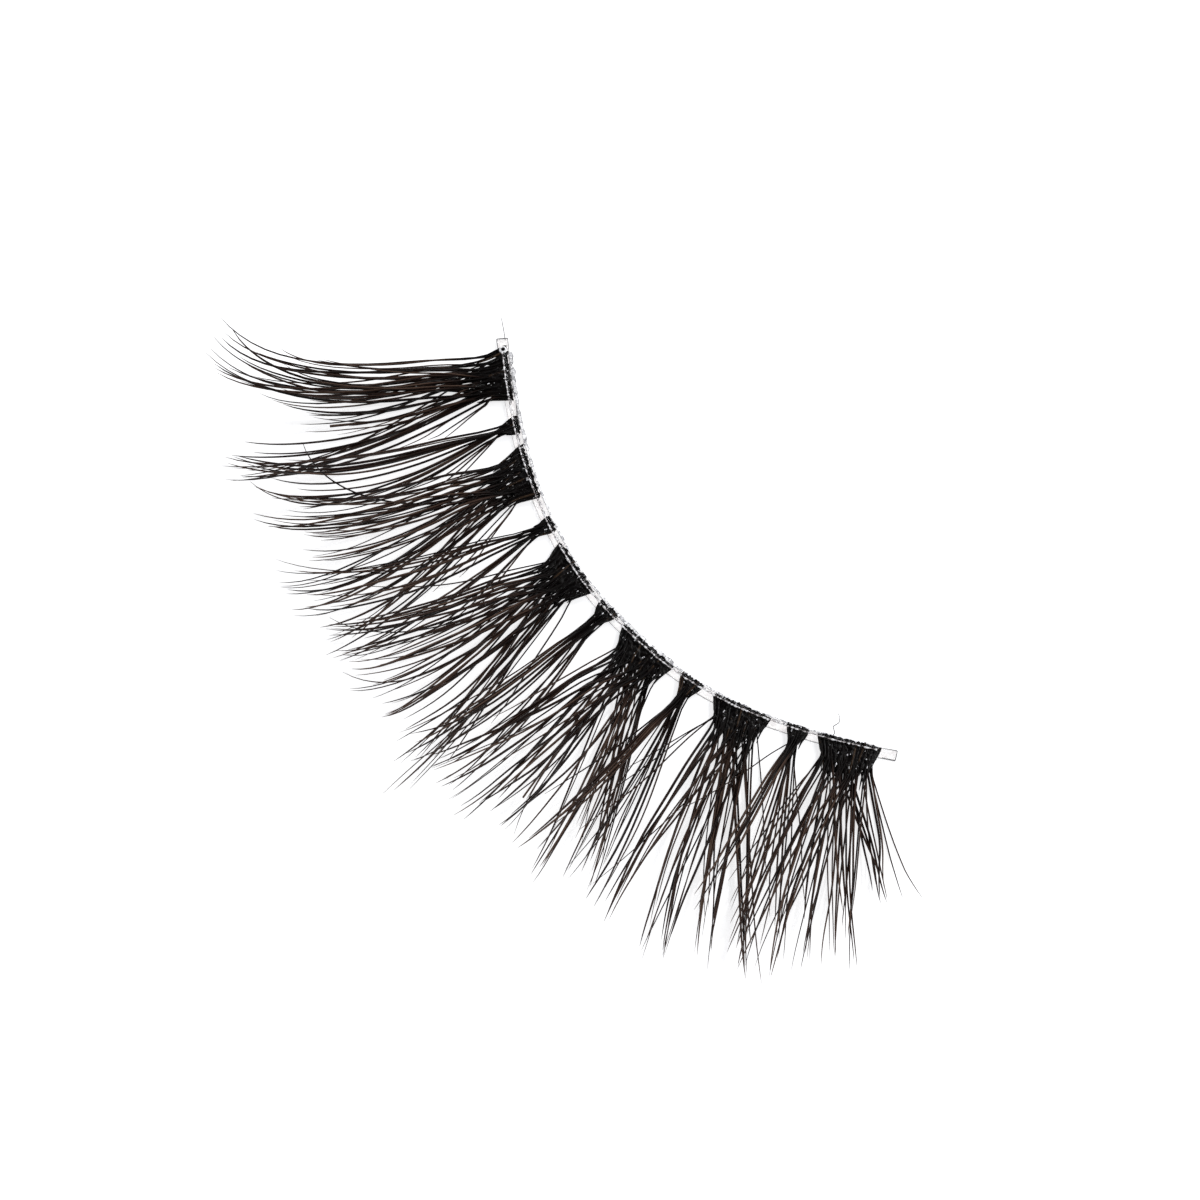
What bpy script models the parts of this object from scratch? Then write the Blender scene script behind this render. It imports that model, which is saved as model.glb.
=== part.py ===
"""A false eyelash strip: wide and narrow clusters of tapered lashes bonded on a clear band.

The strip lies as it rests on a table. The band's underside is on z = 0, with the origin at the
middle of its length and width. +X runs along the band there, the lashes leave the band towards
-Y and curl up, and the eyelid side of the band faces +Y.
"""

import math
from collections import namedtuple

import bmesh
import bpy
from mathutils import Vector

# Driving sizes, in metres and degrees
BAND_LENGTH = 0.0330
BAND_TURN = 73.0
BAND_WIDTH = 0.00056
BAND_THICKNESS = 0.00014
BAND_EDGE_ROUND = 0.00003

THREAD_RADIUS = 0.00005
THREAD_FROM_MIDDLE = 0.00010
THREAD_END_INSET = 0.00020

LAYER_GAP = 0.00003
HEAD_THICKNESS = 0.00034
ROOT_INSET = 0.00012
WIDE_CLUSTER_WIDTH = 0.0033
SMALL_CLUSTER_WIDTH = 0.0011
WIDE_HEAD_LENGTH = 0.0026
SMALL_HEAD_LENGTH = 0.0013

LASH_LENGTH = 0.0165
LOCK_RADIUS = 0.00020
LOCK_START_RADIUS = 0.00012
LOCK_START = 0.35
FLAT_SHARE = 0.25
LAY_RISE_PER_DEGREE = 0.00004

# How finely the curves are divided, and how meshes are finished
BAND_SECTIONS = 54
BAND_WALK_STEPS = 40
LOCK_POINTS = 11
ROUND_RESOLUTION = 1
WELD_DISTANCE = 1e-7
SHARP_ANGLE = 40.0
CORNER_ANGLE = 60.0

# How the band's turn is spread over its length
BandBend = namedtuple("BandBend", "length turn")
BAND_BENDS = (
    BandBend(length=0.0, turn=0.00),
    BandBend(length=0.1, turn=0.03),
    BandBend(length=0.2, turn=0.12),
    BandBend(length=0.3, turn=0.21),
    BandBend(length=0.4, turn=0.32),
    BandBend(length=0.5, turn=0.47),
    BandBend(length=0.6, turn=0.56),
    BandBend(length=0.7, turn=0.71),
    BandBend(length=0.8, turn=0.85),
    BandBend(length=0.9, turn=0.93),
    BandBend(length=1.0, turn=1.00),
)

# Outlines of the glued heads: out is a share of the head's length, width one of its root width
HeadPoint = namedtuple("HeadPoint", "out width")
WIDE_HEAD = (
    HeadPoint(out=0.00, width=1.00),
    HeadPoint(out=0.14, width=0.93),
    HeadPoint(out=0.32, width=0.84),
    HeadPoint(out=0.62, width=0.78),
    HeadPoint(out=0.86, width=0.70),
    HeadPoint(out=1.00, width=0.52),
)
SMALL_HEAD = (
    HeadPoint(out=0.00, width=1.00),
    HeadPoint(out=0.20, width=0.86),
    HeadPoint(out=0.45, width=0.62),
    HeadPoint(out=0.70, width=0.52),
    HeadPoint(out=1.00, width=0.40),
)

# The two kinds of cluster
Kind = namedtuple("Kind", "width head_length outline")
WIDE = Kind(width=WIDE_CLUSTER_WIDTH, head_length=WIDE_HEAD_LENGTH, outline=WIDE_HEAD)
SMALL = Kind(width=SMALL_CLUSTER_WIDTH, head_length=SMALL_HEAD_LENGTH, outline=SMALL_HEAD)

# Radius of a lock along its length, as a share of its greatest radius
LockPoint = namedtuple("LockPoint", "along radius")
LOCK_TAPER = (
    LockPoint(along=0.00, radius=0.60),
    LockPoint(along=0.16, radius=0.95),
    LockPoint(along=0.30, radius=1.00),
    LockPoint(along=0.55, radius=0.80),
    LockPoint(along=0.80, radius=0.48),
    LockPoint(along=1.00, radius=0.16),
)

# Locks: root is the place across the root, from -1 at the cluster's -X side to 1. lean turns a
# lock from the band's outward direction towards +X and bend turns its tip further, in degrees.
# length is a share of LASH_LENGTH, curl one of the cluster's curl, thick one of LOCK_RADIUS.
# Clusters: station is a share of the band's length, width one of the kind's width, and curl the
# angle that the tips have risen to, in degrees.
Lock = namedtuple("Lock", "root lean length bend curl thick")
Cluster = namedtuple("Cluster", "name kind station width curl locks")
CLUSTERS = (
    Cluster("wide_cluster_1", WIDE, 0.063, 0.97, 65, (
        Lock(-0.85, 4, 0.79, 0, 1.00, 0.80),
        Lock(-0.50, 3, 1.02, 0, 1.08, 0.85),
        Lock(-0.15, 5, 1.05, 0, 1.00, 1.00),
        Lock(0.15, 10, 0.88, 0, 0.95, 1.00),
        Lock(0.50, 14, 0.72, 0, 0.70, 0.90),
        Lock(0.85, 20, 1.00, -3, 0.66, 0.95),
    )),
    Cluster("small_cluster_1", SMALL, 0.152, 0.86, 62, (
        Lock(0.55, 6, 1.00, 0, 0.85, 0.75),
        Lock(-0.55, 22, 0.90, -8, 0.85, 0.75),
    )),
    Cluster("wide_cluster_2", WIDE, 0.234, 0.97, 57, (
        Lock(-0.85, 4, 0.99, 0, 1.08, 0.85),
        Lock(-0.50, 9, 1.00, 0, 1.00, 0.90),
        Lock(-0.15, 11, 0.82, 0, 0.90, 0.90),
        Lock(0.15, 15, 0.88, 0, 0.90, 1.00),
        Lock(0.45, 18, 1.00, 0, 0.94, 0.90),
        Lock(0.70, 23, 1.02, -2, 0.94, 0.90),
        Lock(0.90, 30, 0.96, 0, 0.80, 0.90),
    )),
    Cluster("small_cluster_2", SMALL, 0.329, 0.77, 52, (
        Lock(0.55, -2, 1.00, 0, 1.08, 0.75),
        Lock(0.00, 5, 0.94, 0, 1.05, 0.70),
        Lock(-0.55, 20, 0.92, 0, 0.80, 0.75),
    )),
    Cluster("wide_cluster_3", WIDE, 0.412, 1.00, 48, (
        Lock(-0.85, -1, 0.88, 0, 1.00, 0.85),
        Lock(-0.55, 3, 0.88, 0, 0.90, 0.90),
        Lock(-0.25, 6, 0.92, 0, 1.15, 1.00),
        Lock(0.00, 10, 0.96, 0, 1.10, 1.00),
        Lock(0.35, 14, 0.90, 0, 1.00, 1.00),
        Lock(0.65, 19, 0.92, 4, 0.70, 0.95),
        Lock(0.90, 23, 1.00, 8, 0.60, 0.95),
    )),
    Cluster("small_cluster_3", SMALL, 0.497, 1.09, 43, (
        Lock(0.60, 3, 0.88, 2, 1.00, 0.80),
        Lock(0.15, 7, 0.92, 2, 1.00, 0.80),
        Lock(-0.60, 18, 0.90, 0, 1.00, 0.75),
    )),
    Cluster("wide_cluster_4", WIDE, 0.584, 1.06, 38, (
        Lock(-0.85, -2, 0.88, 0, 1.00, 0.80),
        Lock(-0.60, 2, 0.90, 2, 1.00, 0.85),
        Lock(-0.30, 7, 0.95, 3, 1.00, 0.95),
        Lock(0.00, 13, 0.88, 3, 1.00, 1.00),
        Lock(0.30, 21, 1.00, 5, 1.00, 1.10),
        Lock(0.60, 25, 0.92, 5, 1.00, 0.90),
        Lock(0.88, 29, 0.94, 4, 0.90, 0.85),
    )),
    Cluster("small_cluster_4", SMALL, 0.671, 1.18, 34, (
        Lock(0.60, -4, 0.90, 4, 1.10, 0.75),
        Lock(0.10, 9, 0.90, 5, 1.15, 0.80),
        Lock(-0.60, 16, 0.92, 4, 1.00, 0.75),
    )),
    Cluster("wide_cluster_5", WIDE, 0.758, 0.97, 30, (
        Lock(-0.85, 1, 0.96, 8, 1.00, 0.80),
        Lock(-0.55, 8, 1.03, 8, 1.00, 0.90),
        Lock(-0.20, 11, 1.00, 7, 1.00, 0.95),
        Lock(0.15, 16, 0.98, 7, 1.00, 1.05),
        Lock(0.50, 16, 0.90, 8, 1.00, 0.80),
        Lock(0.85, 22, 0.97, 8, 1.00, 0.80),
    )),
    Cluster("small_cluster_5", SMALL, 0.848, 1.05, 29, (
        Lock(0.55, -8, 0.78, 6, 1.00, 0.70),
        Lock(0.00, 5, 0.88, 6, 1.00, 0.70),
        Lock(-0.55, 14, 0.86, 5, 1.00, 0.70),
    )),
    Cluster("wide_cluster_6", WIDE, 0.928, 1.00, 28, (
        Lock(-0.85, -5, 0.92, 10, 1.00, 0.85),
        Lock(-0.55, -1, 0.93, 9, 1.00, 0.95),
        Lock(-0.25, 4, 0.89, 7, 1.00, 0.95),
        Lock(0.10, 9, 0.84, 6, 1.00, 0.90),
        Lock(0.40, 11, 0.82, 6, 1.00, 1.00),
        Lock(0.90, 19, 0.56, 6, 1.00, 0.75),
    )),
)

# Heights that follow from the sizes above
HEAD_BOTTOM = BAND_THICKNESS + LAYER_GAP
HEAD_MIDDLE = HEAD_BOTTOM + HEAD_THICKNESS / 2
THREAD_MIDDLE = HEAD_BOTTOM + HEAD_THICKNESS + LAYER_GAP + THREAD_RADIUS


def read_table(table, column, value, at):
    """Read a table's value column at a place in its first column, straight between two rows."""
    for low, high in zip(table, table[1:]):
        start, end = getattr(low, column), getattr(high, column)
        if at <= end or high is table[-1]:
            share = (at - start) / (end - start)
            return getattr(low, value) + share * (getattr(high, value) - getattr(low, value))


def band_heading(station):
    """Heading of the band's middle line in radians, which is 0 halfway along."""
    turned = read_table(BAND_BENDS, "length", "turn", station)
    middle = read_table(BAND_BENDS, "length", "turn", 0.5)
    return math.radians(BAND_TURN) * (turned - middle)


def along(heading):
    """Unit direction along the band."""
    return Vector((math.cos(heading), math.sin(heading), 0.0))


def outward(heading):
    """Unit direction from the band towards the lashes."""
    return Vector((math.sin(heading), -math.cos(heading), 0.0))


def band_point(station):
    """Point of the band's middle line at a share of its length, walked from halfway along."""
    step = (station - 0.5) / BAND_WALK_STEPS
    point = Vector((0.0, 0.0, 0.0))
    for i in range(BAND_WALK_STEPS):
        point += step * BAND_LENGTH * along(band_heading(0.5 + (i + 0.5) * step))
    return point


def smooth(share):
    """Ease from 0 to 1."""
    share = min(max(share, 0.0), 1.0)
    return share * share * (3 - 2 * share)


def root_width(cluster):
    """Width of a cluster where it meets the band."""
    return cluster.width * cluster.kind.width


def mean_lean(cluster):
    """Mean lean of a cluster's locks in radians, which its head follows."""
    return math.radians(sum(lock.lean for lock in cluster.locks) / len(cluster.locks))


def lock_path(cluster, lock):
    """Points and radii of one lock, from inside its head to its tip."""
    heading = band_heading(cluster.station)
    start_out = LOCK_START * cluster.kind.head_length
    waist = root_width(cluster) * read_table(cluster.kind.outline, "out", "width", LOCK_START)
    sideways = lock.root * (waist / 2 - LOCK_START_RADIUS)
    sideways += math.tan(mean_lean(cluster)) * start_out
    point = band_point(cluster.station) + sideways * along(heading)
    point += start_out * outward(heading)
    thick = lock.thick * LOCK_RADIUS
    steepest = max(other.lean for other in cluster.locks)
    lay = thick + LAY_RISE_PER_DEGREE * (steepest - lock.lean)
    steps = LOCK_POINTS - 1
    step = (lock.length * LASH_LENGTH - start_out) / steps
    rise = 0.0
    points, radii = [], []
    for i in range(LOCK_POINTS):
        t = i / steps
        height = HEAD_MIDDLE + (lay - HEAD_MIDDLE) * smooth(t / FLAT_SHARE) + rise
        points.append(Vector((point.x, point.y, height)))
        radii.append(thick * read_table(LOCK_TAPER, "along", "radius", t))
        middle = t + 0.5 / steps
        risen = max(0.0, middle - FLAT_SHARE) / (1 - FLAT_SHARE)
        pitch = math.radians(cluster.curl * lock.curl) * risen
        turn = heading + math.radians(lock.lean + lock.bend * middle ** 2)
        point = point + step * math.cos(pitch) * outward(turn)
        rise += step * math.sin(pitch)
    return points, radii


def clear_scene():
    for obj in list(bpy.data.objects):
        bpy.data.objects.remove(obj, do_unlink=True)


def collection_named(name):
    made = bpy.data.collections.new(name)
    bpy.context.scene.collection.children.link(made)
    return made


def material(name, colour, roughness, transmission=0.0):
    made = bpy.data.materials.new(name)
    made.use_nodes = True
    shader = made.node_tree.nodes["Principled BSDF"]
    shader.inputs["Base Color"].default_value = (*colour, 1.0)
    shader.inputs["Roughness"].default_value = roughness
    shader.inputs["Metallic"].default_value = 0.0
    shader.inputs["Transmission Weight"].default_value = transmission
    made.diffuse_color = (*colour, 1.0)
    return made


def mesh_from_curve(curve_object, collection):
    """Turn a curve object into a mesh object with welded caps, and remove the curve."""
    bpy.context.view_layer.update()
    graph = bpy.context.evaluated_depsgraph_get()
    mesh = bpy.data.meshes.new_from_object(curve_object.evaluated_get(graph))
    bm = bmesh.new()
    bm.from_mesh(mesh)
    bmesh.ops.remove_doubles(bm, verts=bm.verts, dist=WELD_DISTANCE)
    bmesh.ops.recalc_face_normals(bm, faces=bm.faces)
    bm.to_mesh(mesh)
    bm.free()
    made = bpy.data.objects.new(curve_object.name + "_solid", mesh)
    made.matrix_world = curve_object.matrix_world.copy()
    collection.objects.link(made)
    bpy.data.objects.remove(curve_object, do_unlink=True)
    return made


def tube(name, points, radii, collection):
    """A round tube through the points, with a radius at each."""
    curve = bpy.data.curves.new(name, "CURVE")
    curve.dimensions = "3D"
    curve.bevel_depth = 1.0
    curve.bevel_resolution = ROUND_RESOLUTION
    curve.use_fill_caps = True
    spline = curve.splines.new("POLY")
    spline.points.add(len(points) - 1)
    for spline_point, point, radius in zip(spline.points, points, radii):
        spline_point.co = (*point, 1.0)
        spline_point.radius = radius
    made = bpy.data.objects.new(name, curve)
    collection.objects.link(made)
    return mesh_from_curve(made, collection)


def head_solid(cluster, collection):
    """The flat glued head of a cluster, flared at the band and leaning with its locks."""
    root_out = ROOT_INSET - BAND_WIDTH / 2
    side = [(root_width(cluster) / 2, root_out)]
    for row in cluster.kind.outline[1:]:
        side.append((row.width * root_width(cluster) / 2, row.out * cluster.kind.head_length))
    outline = side + [(-across, out) for across, out in reversed(side)]
    curve = bpy.data.curves.new(cluster.name + "_head", "CURVE")
    curve.dimensions = "2D"
    curve.fill_mode = "BOTH"
    curve.extrude = HEAD_THICKNESS / 2
    spline = curve.splines.new("POLY")
    spline.points.add(len(outline) - 1)
    spline.use_cyclic_u = True
    for spline_point, (across, out) in zip(spline.points, outline):
        leant = across + math.tan(mean_lean(cluster)) * max(out, 0.0)
        spline_point.co = (leant, -out, 0.0, 1.0)
    made = bpy.data.objects.new(cluster.name + "_head", curve)
    collection.objects.link(made)
    made.location = band_point(cluster.station) + Vector((0.0, 0.0, HEAD_MIDDLE))
    made.rotation_euler.z = band_heading(cluster.station)
    return mesh_from_curve(made, collection)


def finish(solid, surface):
    """Give a solid its material and smooth shading with sharp edges."""
    solid.data.materials.clear()
    solid.data.materials.append(surface)
    solid.data.shade_smooth()
    solid.data.set_sharp_from_angle(angle=math.radians(SHARP_ANGLE))


def joined(name, base, others, surface, collection):
    """One solid made of a base and the shapes fused to it."""
    for other in others:
        union = base.modifiers.new("fuse", "BOOLEAN")
        union.operation = "UNION"
        union.solver = "EXACT"
        union.object = other
        bpy.context.view_layer.update()
        graph = bpy.context.evaluated_depsgraph_get()
        fused = bpy.data.meshes.new_from_object(base.evaluated_get(graph))
        base.modifiers.clear()
        base.data = fused
        bpy.data.objects.remove(other, do_unlink=True)
    solid = bpy.data.objects.new(name, base.data)
    solid.matrix_world = base.matrix_world.copy()
    solid.data.name = name
    collection.objects.link(solid)
    bpy.data.objects.remove(base, do_unlink=True)
    finish(solid, surface)
    return solid


def make_band(surface, collection):
    """The clear band: a flat ribbon along the middle line, with its edges slightly rounded."""
    mesh = bpy.data.meshes.new("clear_band")
    bm = bmesh.new()
    rows = []
    for i in range(BAND_SECTIONS + 1):
        station = i / BAND_SECTIONS
        middle = band_point(station)
        across = BAND_WIDTH / 2 * outward(band_heading(station))
        rows.append((bm.verts.new(middle - across), bm.verts.new(middle + across)))
    for (inner_a, outer_a), (inner_b, outer_b) in zip(rows, rows[1:]):
        bm.faces.new((inner_a, outer_a, outer_b, inner_b))
    bm.to_mesh(mesh)
    bm.free()
    band = bpy.data.objects.new("clear_band", mesh)
    collection.objects.link(band)
    wall = band.modifiers.new("thickness", "SOLIDIFY")
    wall.thickness = BAND_THICKNESS
    wall.offset = 1.0
    edge = band.modifiers.new("edges", "BEVEL")
    edge.width = BAND_EDGE_ROUND
    edge.segments = 1
    edge.limit_method = "ANGLE"
    edge.angle_limit = math.radians(CORNER_ANGLE)
    mesh.materials.append(surface)
    return band


def make_thread(surface, collection, helpers):
    """The clear thread that runs over the roots, along the band."""
    inset = THREAD_END_INSET / BAND_LENGTH
    points = []
    for i in range(BAND_SECTIONS + 1):
        station = inset + (1 - 2 * inset) * i / BAND_SECTIONS
        place = band_point(station) + THREAD_FROM_MIDDLE * outward(band_heading(station))
        points.append(place + Vector((0.0, 0.0, THREAD_MIDDLE)))
    thread = tube("thread", points, [THREAD_RADIUS] * len(points), helpers)
    return joined("clear_thread", thread, [], surface, collection)


def make_cluster(cluster, surface, collection, helpers):
    """One cluster: its glued head with the locks fused to it."""
    head = head_solid(cluster, helpers)
    locks = []
    for number, lock in enumerate(cluster.locks, 1):
        points, radii = lock_path(cluster, lock)
        locks.append(tube(f"{cluster.name}_lock_{number}", points, radii, helpers))
    return joined(cluster.name, head, locks, surface, collection)


def main():
    clear_scene()
    strip = collection_named("false_eyelash_strip")
    helpers = collection_named("helpers")
    fibre = material("lash_fibre", (0.012, 0.009, 0.008), 0.38)
    film = material("clear_film", (0.88, 0.90, 0.90), 0.12, transmission=0.85)
    make_band(film, strip)
    make_thread(film, strip, helpers)
    for cluster in CLUSTERS:
        make_cluster(cluster, fibre, strip, helpers)


main()
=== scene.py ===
"""Looks of the false eyelash strip: fine fibres, glued roots, clear film and glue, floor and light."""

import math
from collections import namedtuple

import bmesh
import bpy
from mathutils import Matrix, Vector, noise


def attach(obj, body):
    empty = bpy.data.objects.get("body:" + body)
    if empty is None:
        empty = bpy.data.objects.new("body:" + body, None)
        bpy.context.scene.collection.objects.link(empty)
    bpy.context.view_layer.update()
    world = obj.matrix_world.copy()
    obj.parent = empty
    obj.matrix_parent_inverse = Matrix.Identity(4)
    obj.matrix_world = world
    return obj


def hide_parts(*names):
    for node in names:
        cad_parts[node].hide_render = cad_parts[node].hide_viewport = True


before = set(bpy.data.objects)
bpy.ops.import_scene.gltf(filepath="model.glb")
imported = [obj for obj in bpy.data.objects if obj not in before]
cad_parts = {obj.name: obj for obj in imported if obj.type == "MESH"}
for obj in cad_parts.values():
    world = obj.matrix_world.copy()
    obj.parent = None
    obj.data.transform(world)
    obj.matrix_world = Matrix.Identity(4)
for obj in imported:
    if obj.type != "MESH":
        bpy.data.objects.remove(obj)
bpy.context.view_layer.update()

# Sizes that the fibres share with the solids, in metres and degrees
BAND_LENGTH = 0.0330
BAND_TURN = 73.0
BAND_WIDTH = 0.00056
BAND_THICKNESS = 0.00014
LAYER_GAP = 0.00003
HEAD_THICKNESS = 0.00034
ROOT_INSET = 0.00012
WIDE_CLUSTER_WIDTH = 0.0033
SMALL_CLUSTER_WIDTH = 0.0011
WIDE_HEAD_LENGTH = 0.0026
SMALL_HEAD_LENGTH = 0.0013
LASH_LENGTH = 0.0165
LOCK_RADIUS = 0.00020
LOCK_START_RADIUS = 0.00012
LOCK_START = 0.35
FLAT_SHARE = 0.25
LAY_RISE_PER_DEGREE = 0.00004
BAND_WALK_STEPS = 40
LOCK_POINTS = 16

# Where a lock's guide has points before it starts, as shares of the way out to its start
BEFORE_START = (0.35, 0.70)

# Fibres. None comes lower than LOWEST, and no single hair leaves its head higher than HAIR_LAY.
# For its lay a single hair counts as a lock of HAIR_THICK.
FIBRE_RADIUS = 0.000053
FIBRE_SIDES = 5
FIBRE_STEPS = 18
HEAD_LAYER = 0.00010
LOWEST = 0.00009
HAIR_LAY = 0.00060
HAIR_THICK = 0.5
WISP_RADIUS = 0.000020

# Glued strands of a head: how far out they reach, as a share of its length, and how uneven that
# is, the share of its width that they fill, how high their two layers lie above and below its
# middle, and how many more a layer has at the band's last end than at its first
STRAND_RADIUS = 0.000064
STRAND_REACH = 0.8
STRAND_UNEVEN = 0.5
STRAND_FILL = 0.90
STRAND_HEIGHT = 0.7 * HEAD_LAYER
STRAND_BUNDLE = 0.3 * HEAD_LAYER
STRANDS_MORE = 4
ROOT_RAGGED = 0.00014

# Block of glue in a head: its faces across and outwards, the share of its kind's reach that it has
# at the band's first end, and what is added to that by the last
GLUE_ACROSS = 30
GLUE_OUT = 20
GLUE_FIRST = 0.85
GLUE_FURTHER = 0.95

# How jagged its far edge is, the deepest that the noise may cut into it, how much its corners are
# cut back, and the share of the head's width that it fills
GLUE_JAG = 0.50
GLUE_GAP = -0.3
GLUE_CORNERS = 0.6
GLUE_FILL = 0.97

# Half its thickness, how uneven that is and how finely, how much of it is lost at its sides and
# at its far edge, and the share of it that lies below the head's middle
GLUE_HALF = 0.00013
GLUE_UNEVEN = 0.45
GLUE_ROUGH = 4200.0
GLUE_SIDE_THINNED = 0.75
GLUE_EDGE_THINNED = 0.8
GLUE_UNDER = 0.8

# Drops of clear glue, and silvery specks that are painted glints, in a head: how many lie on a square
# metre, the largest radius, how many times longer than wide they may be, and how their pieces' names
# end
Drops = namedtuple("Drops", "density largest longest ending")
CLEAR_DROPS = Drops(density=9.0e6, largest=0.000045, longest=1.4, ending="_clear_drops")
PAINTED_GLINTS = Drops(density=5.0e6, largest=0.000034, longest=3.2, ending="_glint_specks")

# The one large air bubble: where it is, and the radius of its ring and of its core with the share
# of it that each is flattened to
RING_STATION = 0.0245
RING_OUT = 0.00004
RING_HEIGHT = 0.00046
RING_RADIUS = 0.00020
RING_FLATTENED = 0.40
CORE_RADIUS = 0.68 * RING_RADIUS
CORE_FLATTENED = 0.80

# Points of a line of glue or thread along the band, and the floor
LINE_POINTS = 160
FLOOR_SIZE = 2.0
FLOOR_DEPTH = 0.00002

# Camera: the photograph's viewing angle, and the width of what it frames
VIEW_AZIMUTH = 50.2
VIEW_ELEVATION = 62.0
VIEW_TARGET = Vector((-0.00088, 0.00020, 0.0))
VIEW_DISTANCE = 0.9
VIEW_WIDTH = 0.0589
SENSOR_WIDTH = 36.0

# How the band's turn is spread over its length
BandBend = namedtuple("BandBend", "length turn")
BAND_BENDS = (
    BandBend(length=0.0, turn=0.00),
    BandBend(length=0.1, turn=0.03),
    BandBend(length=0.2, turn=0.12),
    BandBend(length=0.3, turn=0.21),
    BandBend(length=0.4, turn=0.32),
    BandBend(length=0.5, turn=0.47),
    BandBend(length=0.6, turn=0.56),
    BandBend(length=0.7, turn=0.71),
    BandBend(length=0.8, turn=0.85),
    BandBend(length=0.9, turn=0.93),
    BandBend(length=1.0, turn=1.00),
)

# Outlines of the glued heads: out is a share of the head's length, width one of its root width
HeadPoint = namedtuple("HeadPoint", "out width")
WIDE_HEAD = (
    HeadPoint(out=0.00, width=1.00),
    HeadPoint(out=0.14, width=0.93),
    HeadPoint(out=0.32, width=0.84),
    HeadPoint(out=0.62, width=0.78),
    HeadPoint(out=0.86, width=0.74),
    HeadPoint(out=1.00, width=0.72),
)
SMALL_HEAD = (
    HeadPoint(out=0.00, width=1.00),
    HeadPoint(out=0.20, width=0.86),
    HeadPoint(out=0.45, width=0.62),
    HeadPoint(out=0.70, width=0.52),
    HeadPoint(out=1.00, width=0.48),
)

# The two kinds of cluster. fibres is how many a lock has, mix how far they change places at the
# root, bundle half the width that they lie in beside each other, strands the glued ones of a head
Kind = namedtuple("Kind", "width head_length outline fibres mix bundle strands glue_reach")
WIDE = Kind(
    width=WIDE_CLUSTER_WIDTH,
    head_length=WIDE_HEAD_LENGTH,
    outline=WIDE_HEAD,
    fibres=7,
    mix=0.80,
    bundle=0.00042,
    strands=11,
    glue_reach=0.34,
)
SMALL = Kind(
    width=SMALL_CLUSTER_WIDTH,
    head_length=SMALL_HEAD_LENGTH,
    outline=SMALL_HEAD,
    fibres=5,
    mix=0.65,
    bundle=0.00052,
    strands=4,
    glue_reach=0.40,
)

# Size of a lock along its length, as a share of its greatest radius
LockPoint = namedtuple("LockPoint", "along radius")
LOCK_TAPER = (
    LockPoint(along=0.00, radius=0.60),
    LockPoint(along=0.16, radius=0.95),
    LockPoint(along=0.30, radius=1.00),
    LockPoint(along=0.55, radius=0.80),
    LockPoint(along=0.80, radius=0.48),
    LockPoint(along=1.00, radius=0.16),
)

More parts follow.
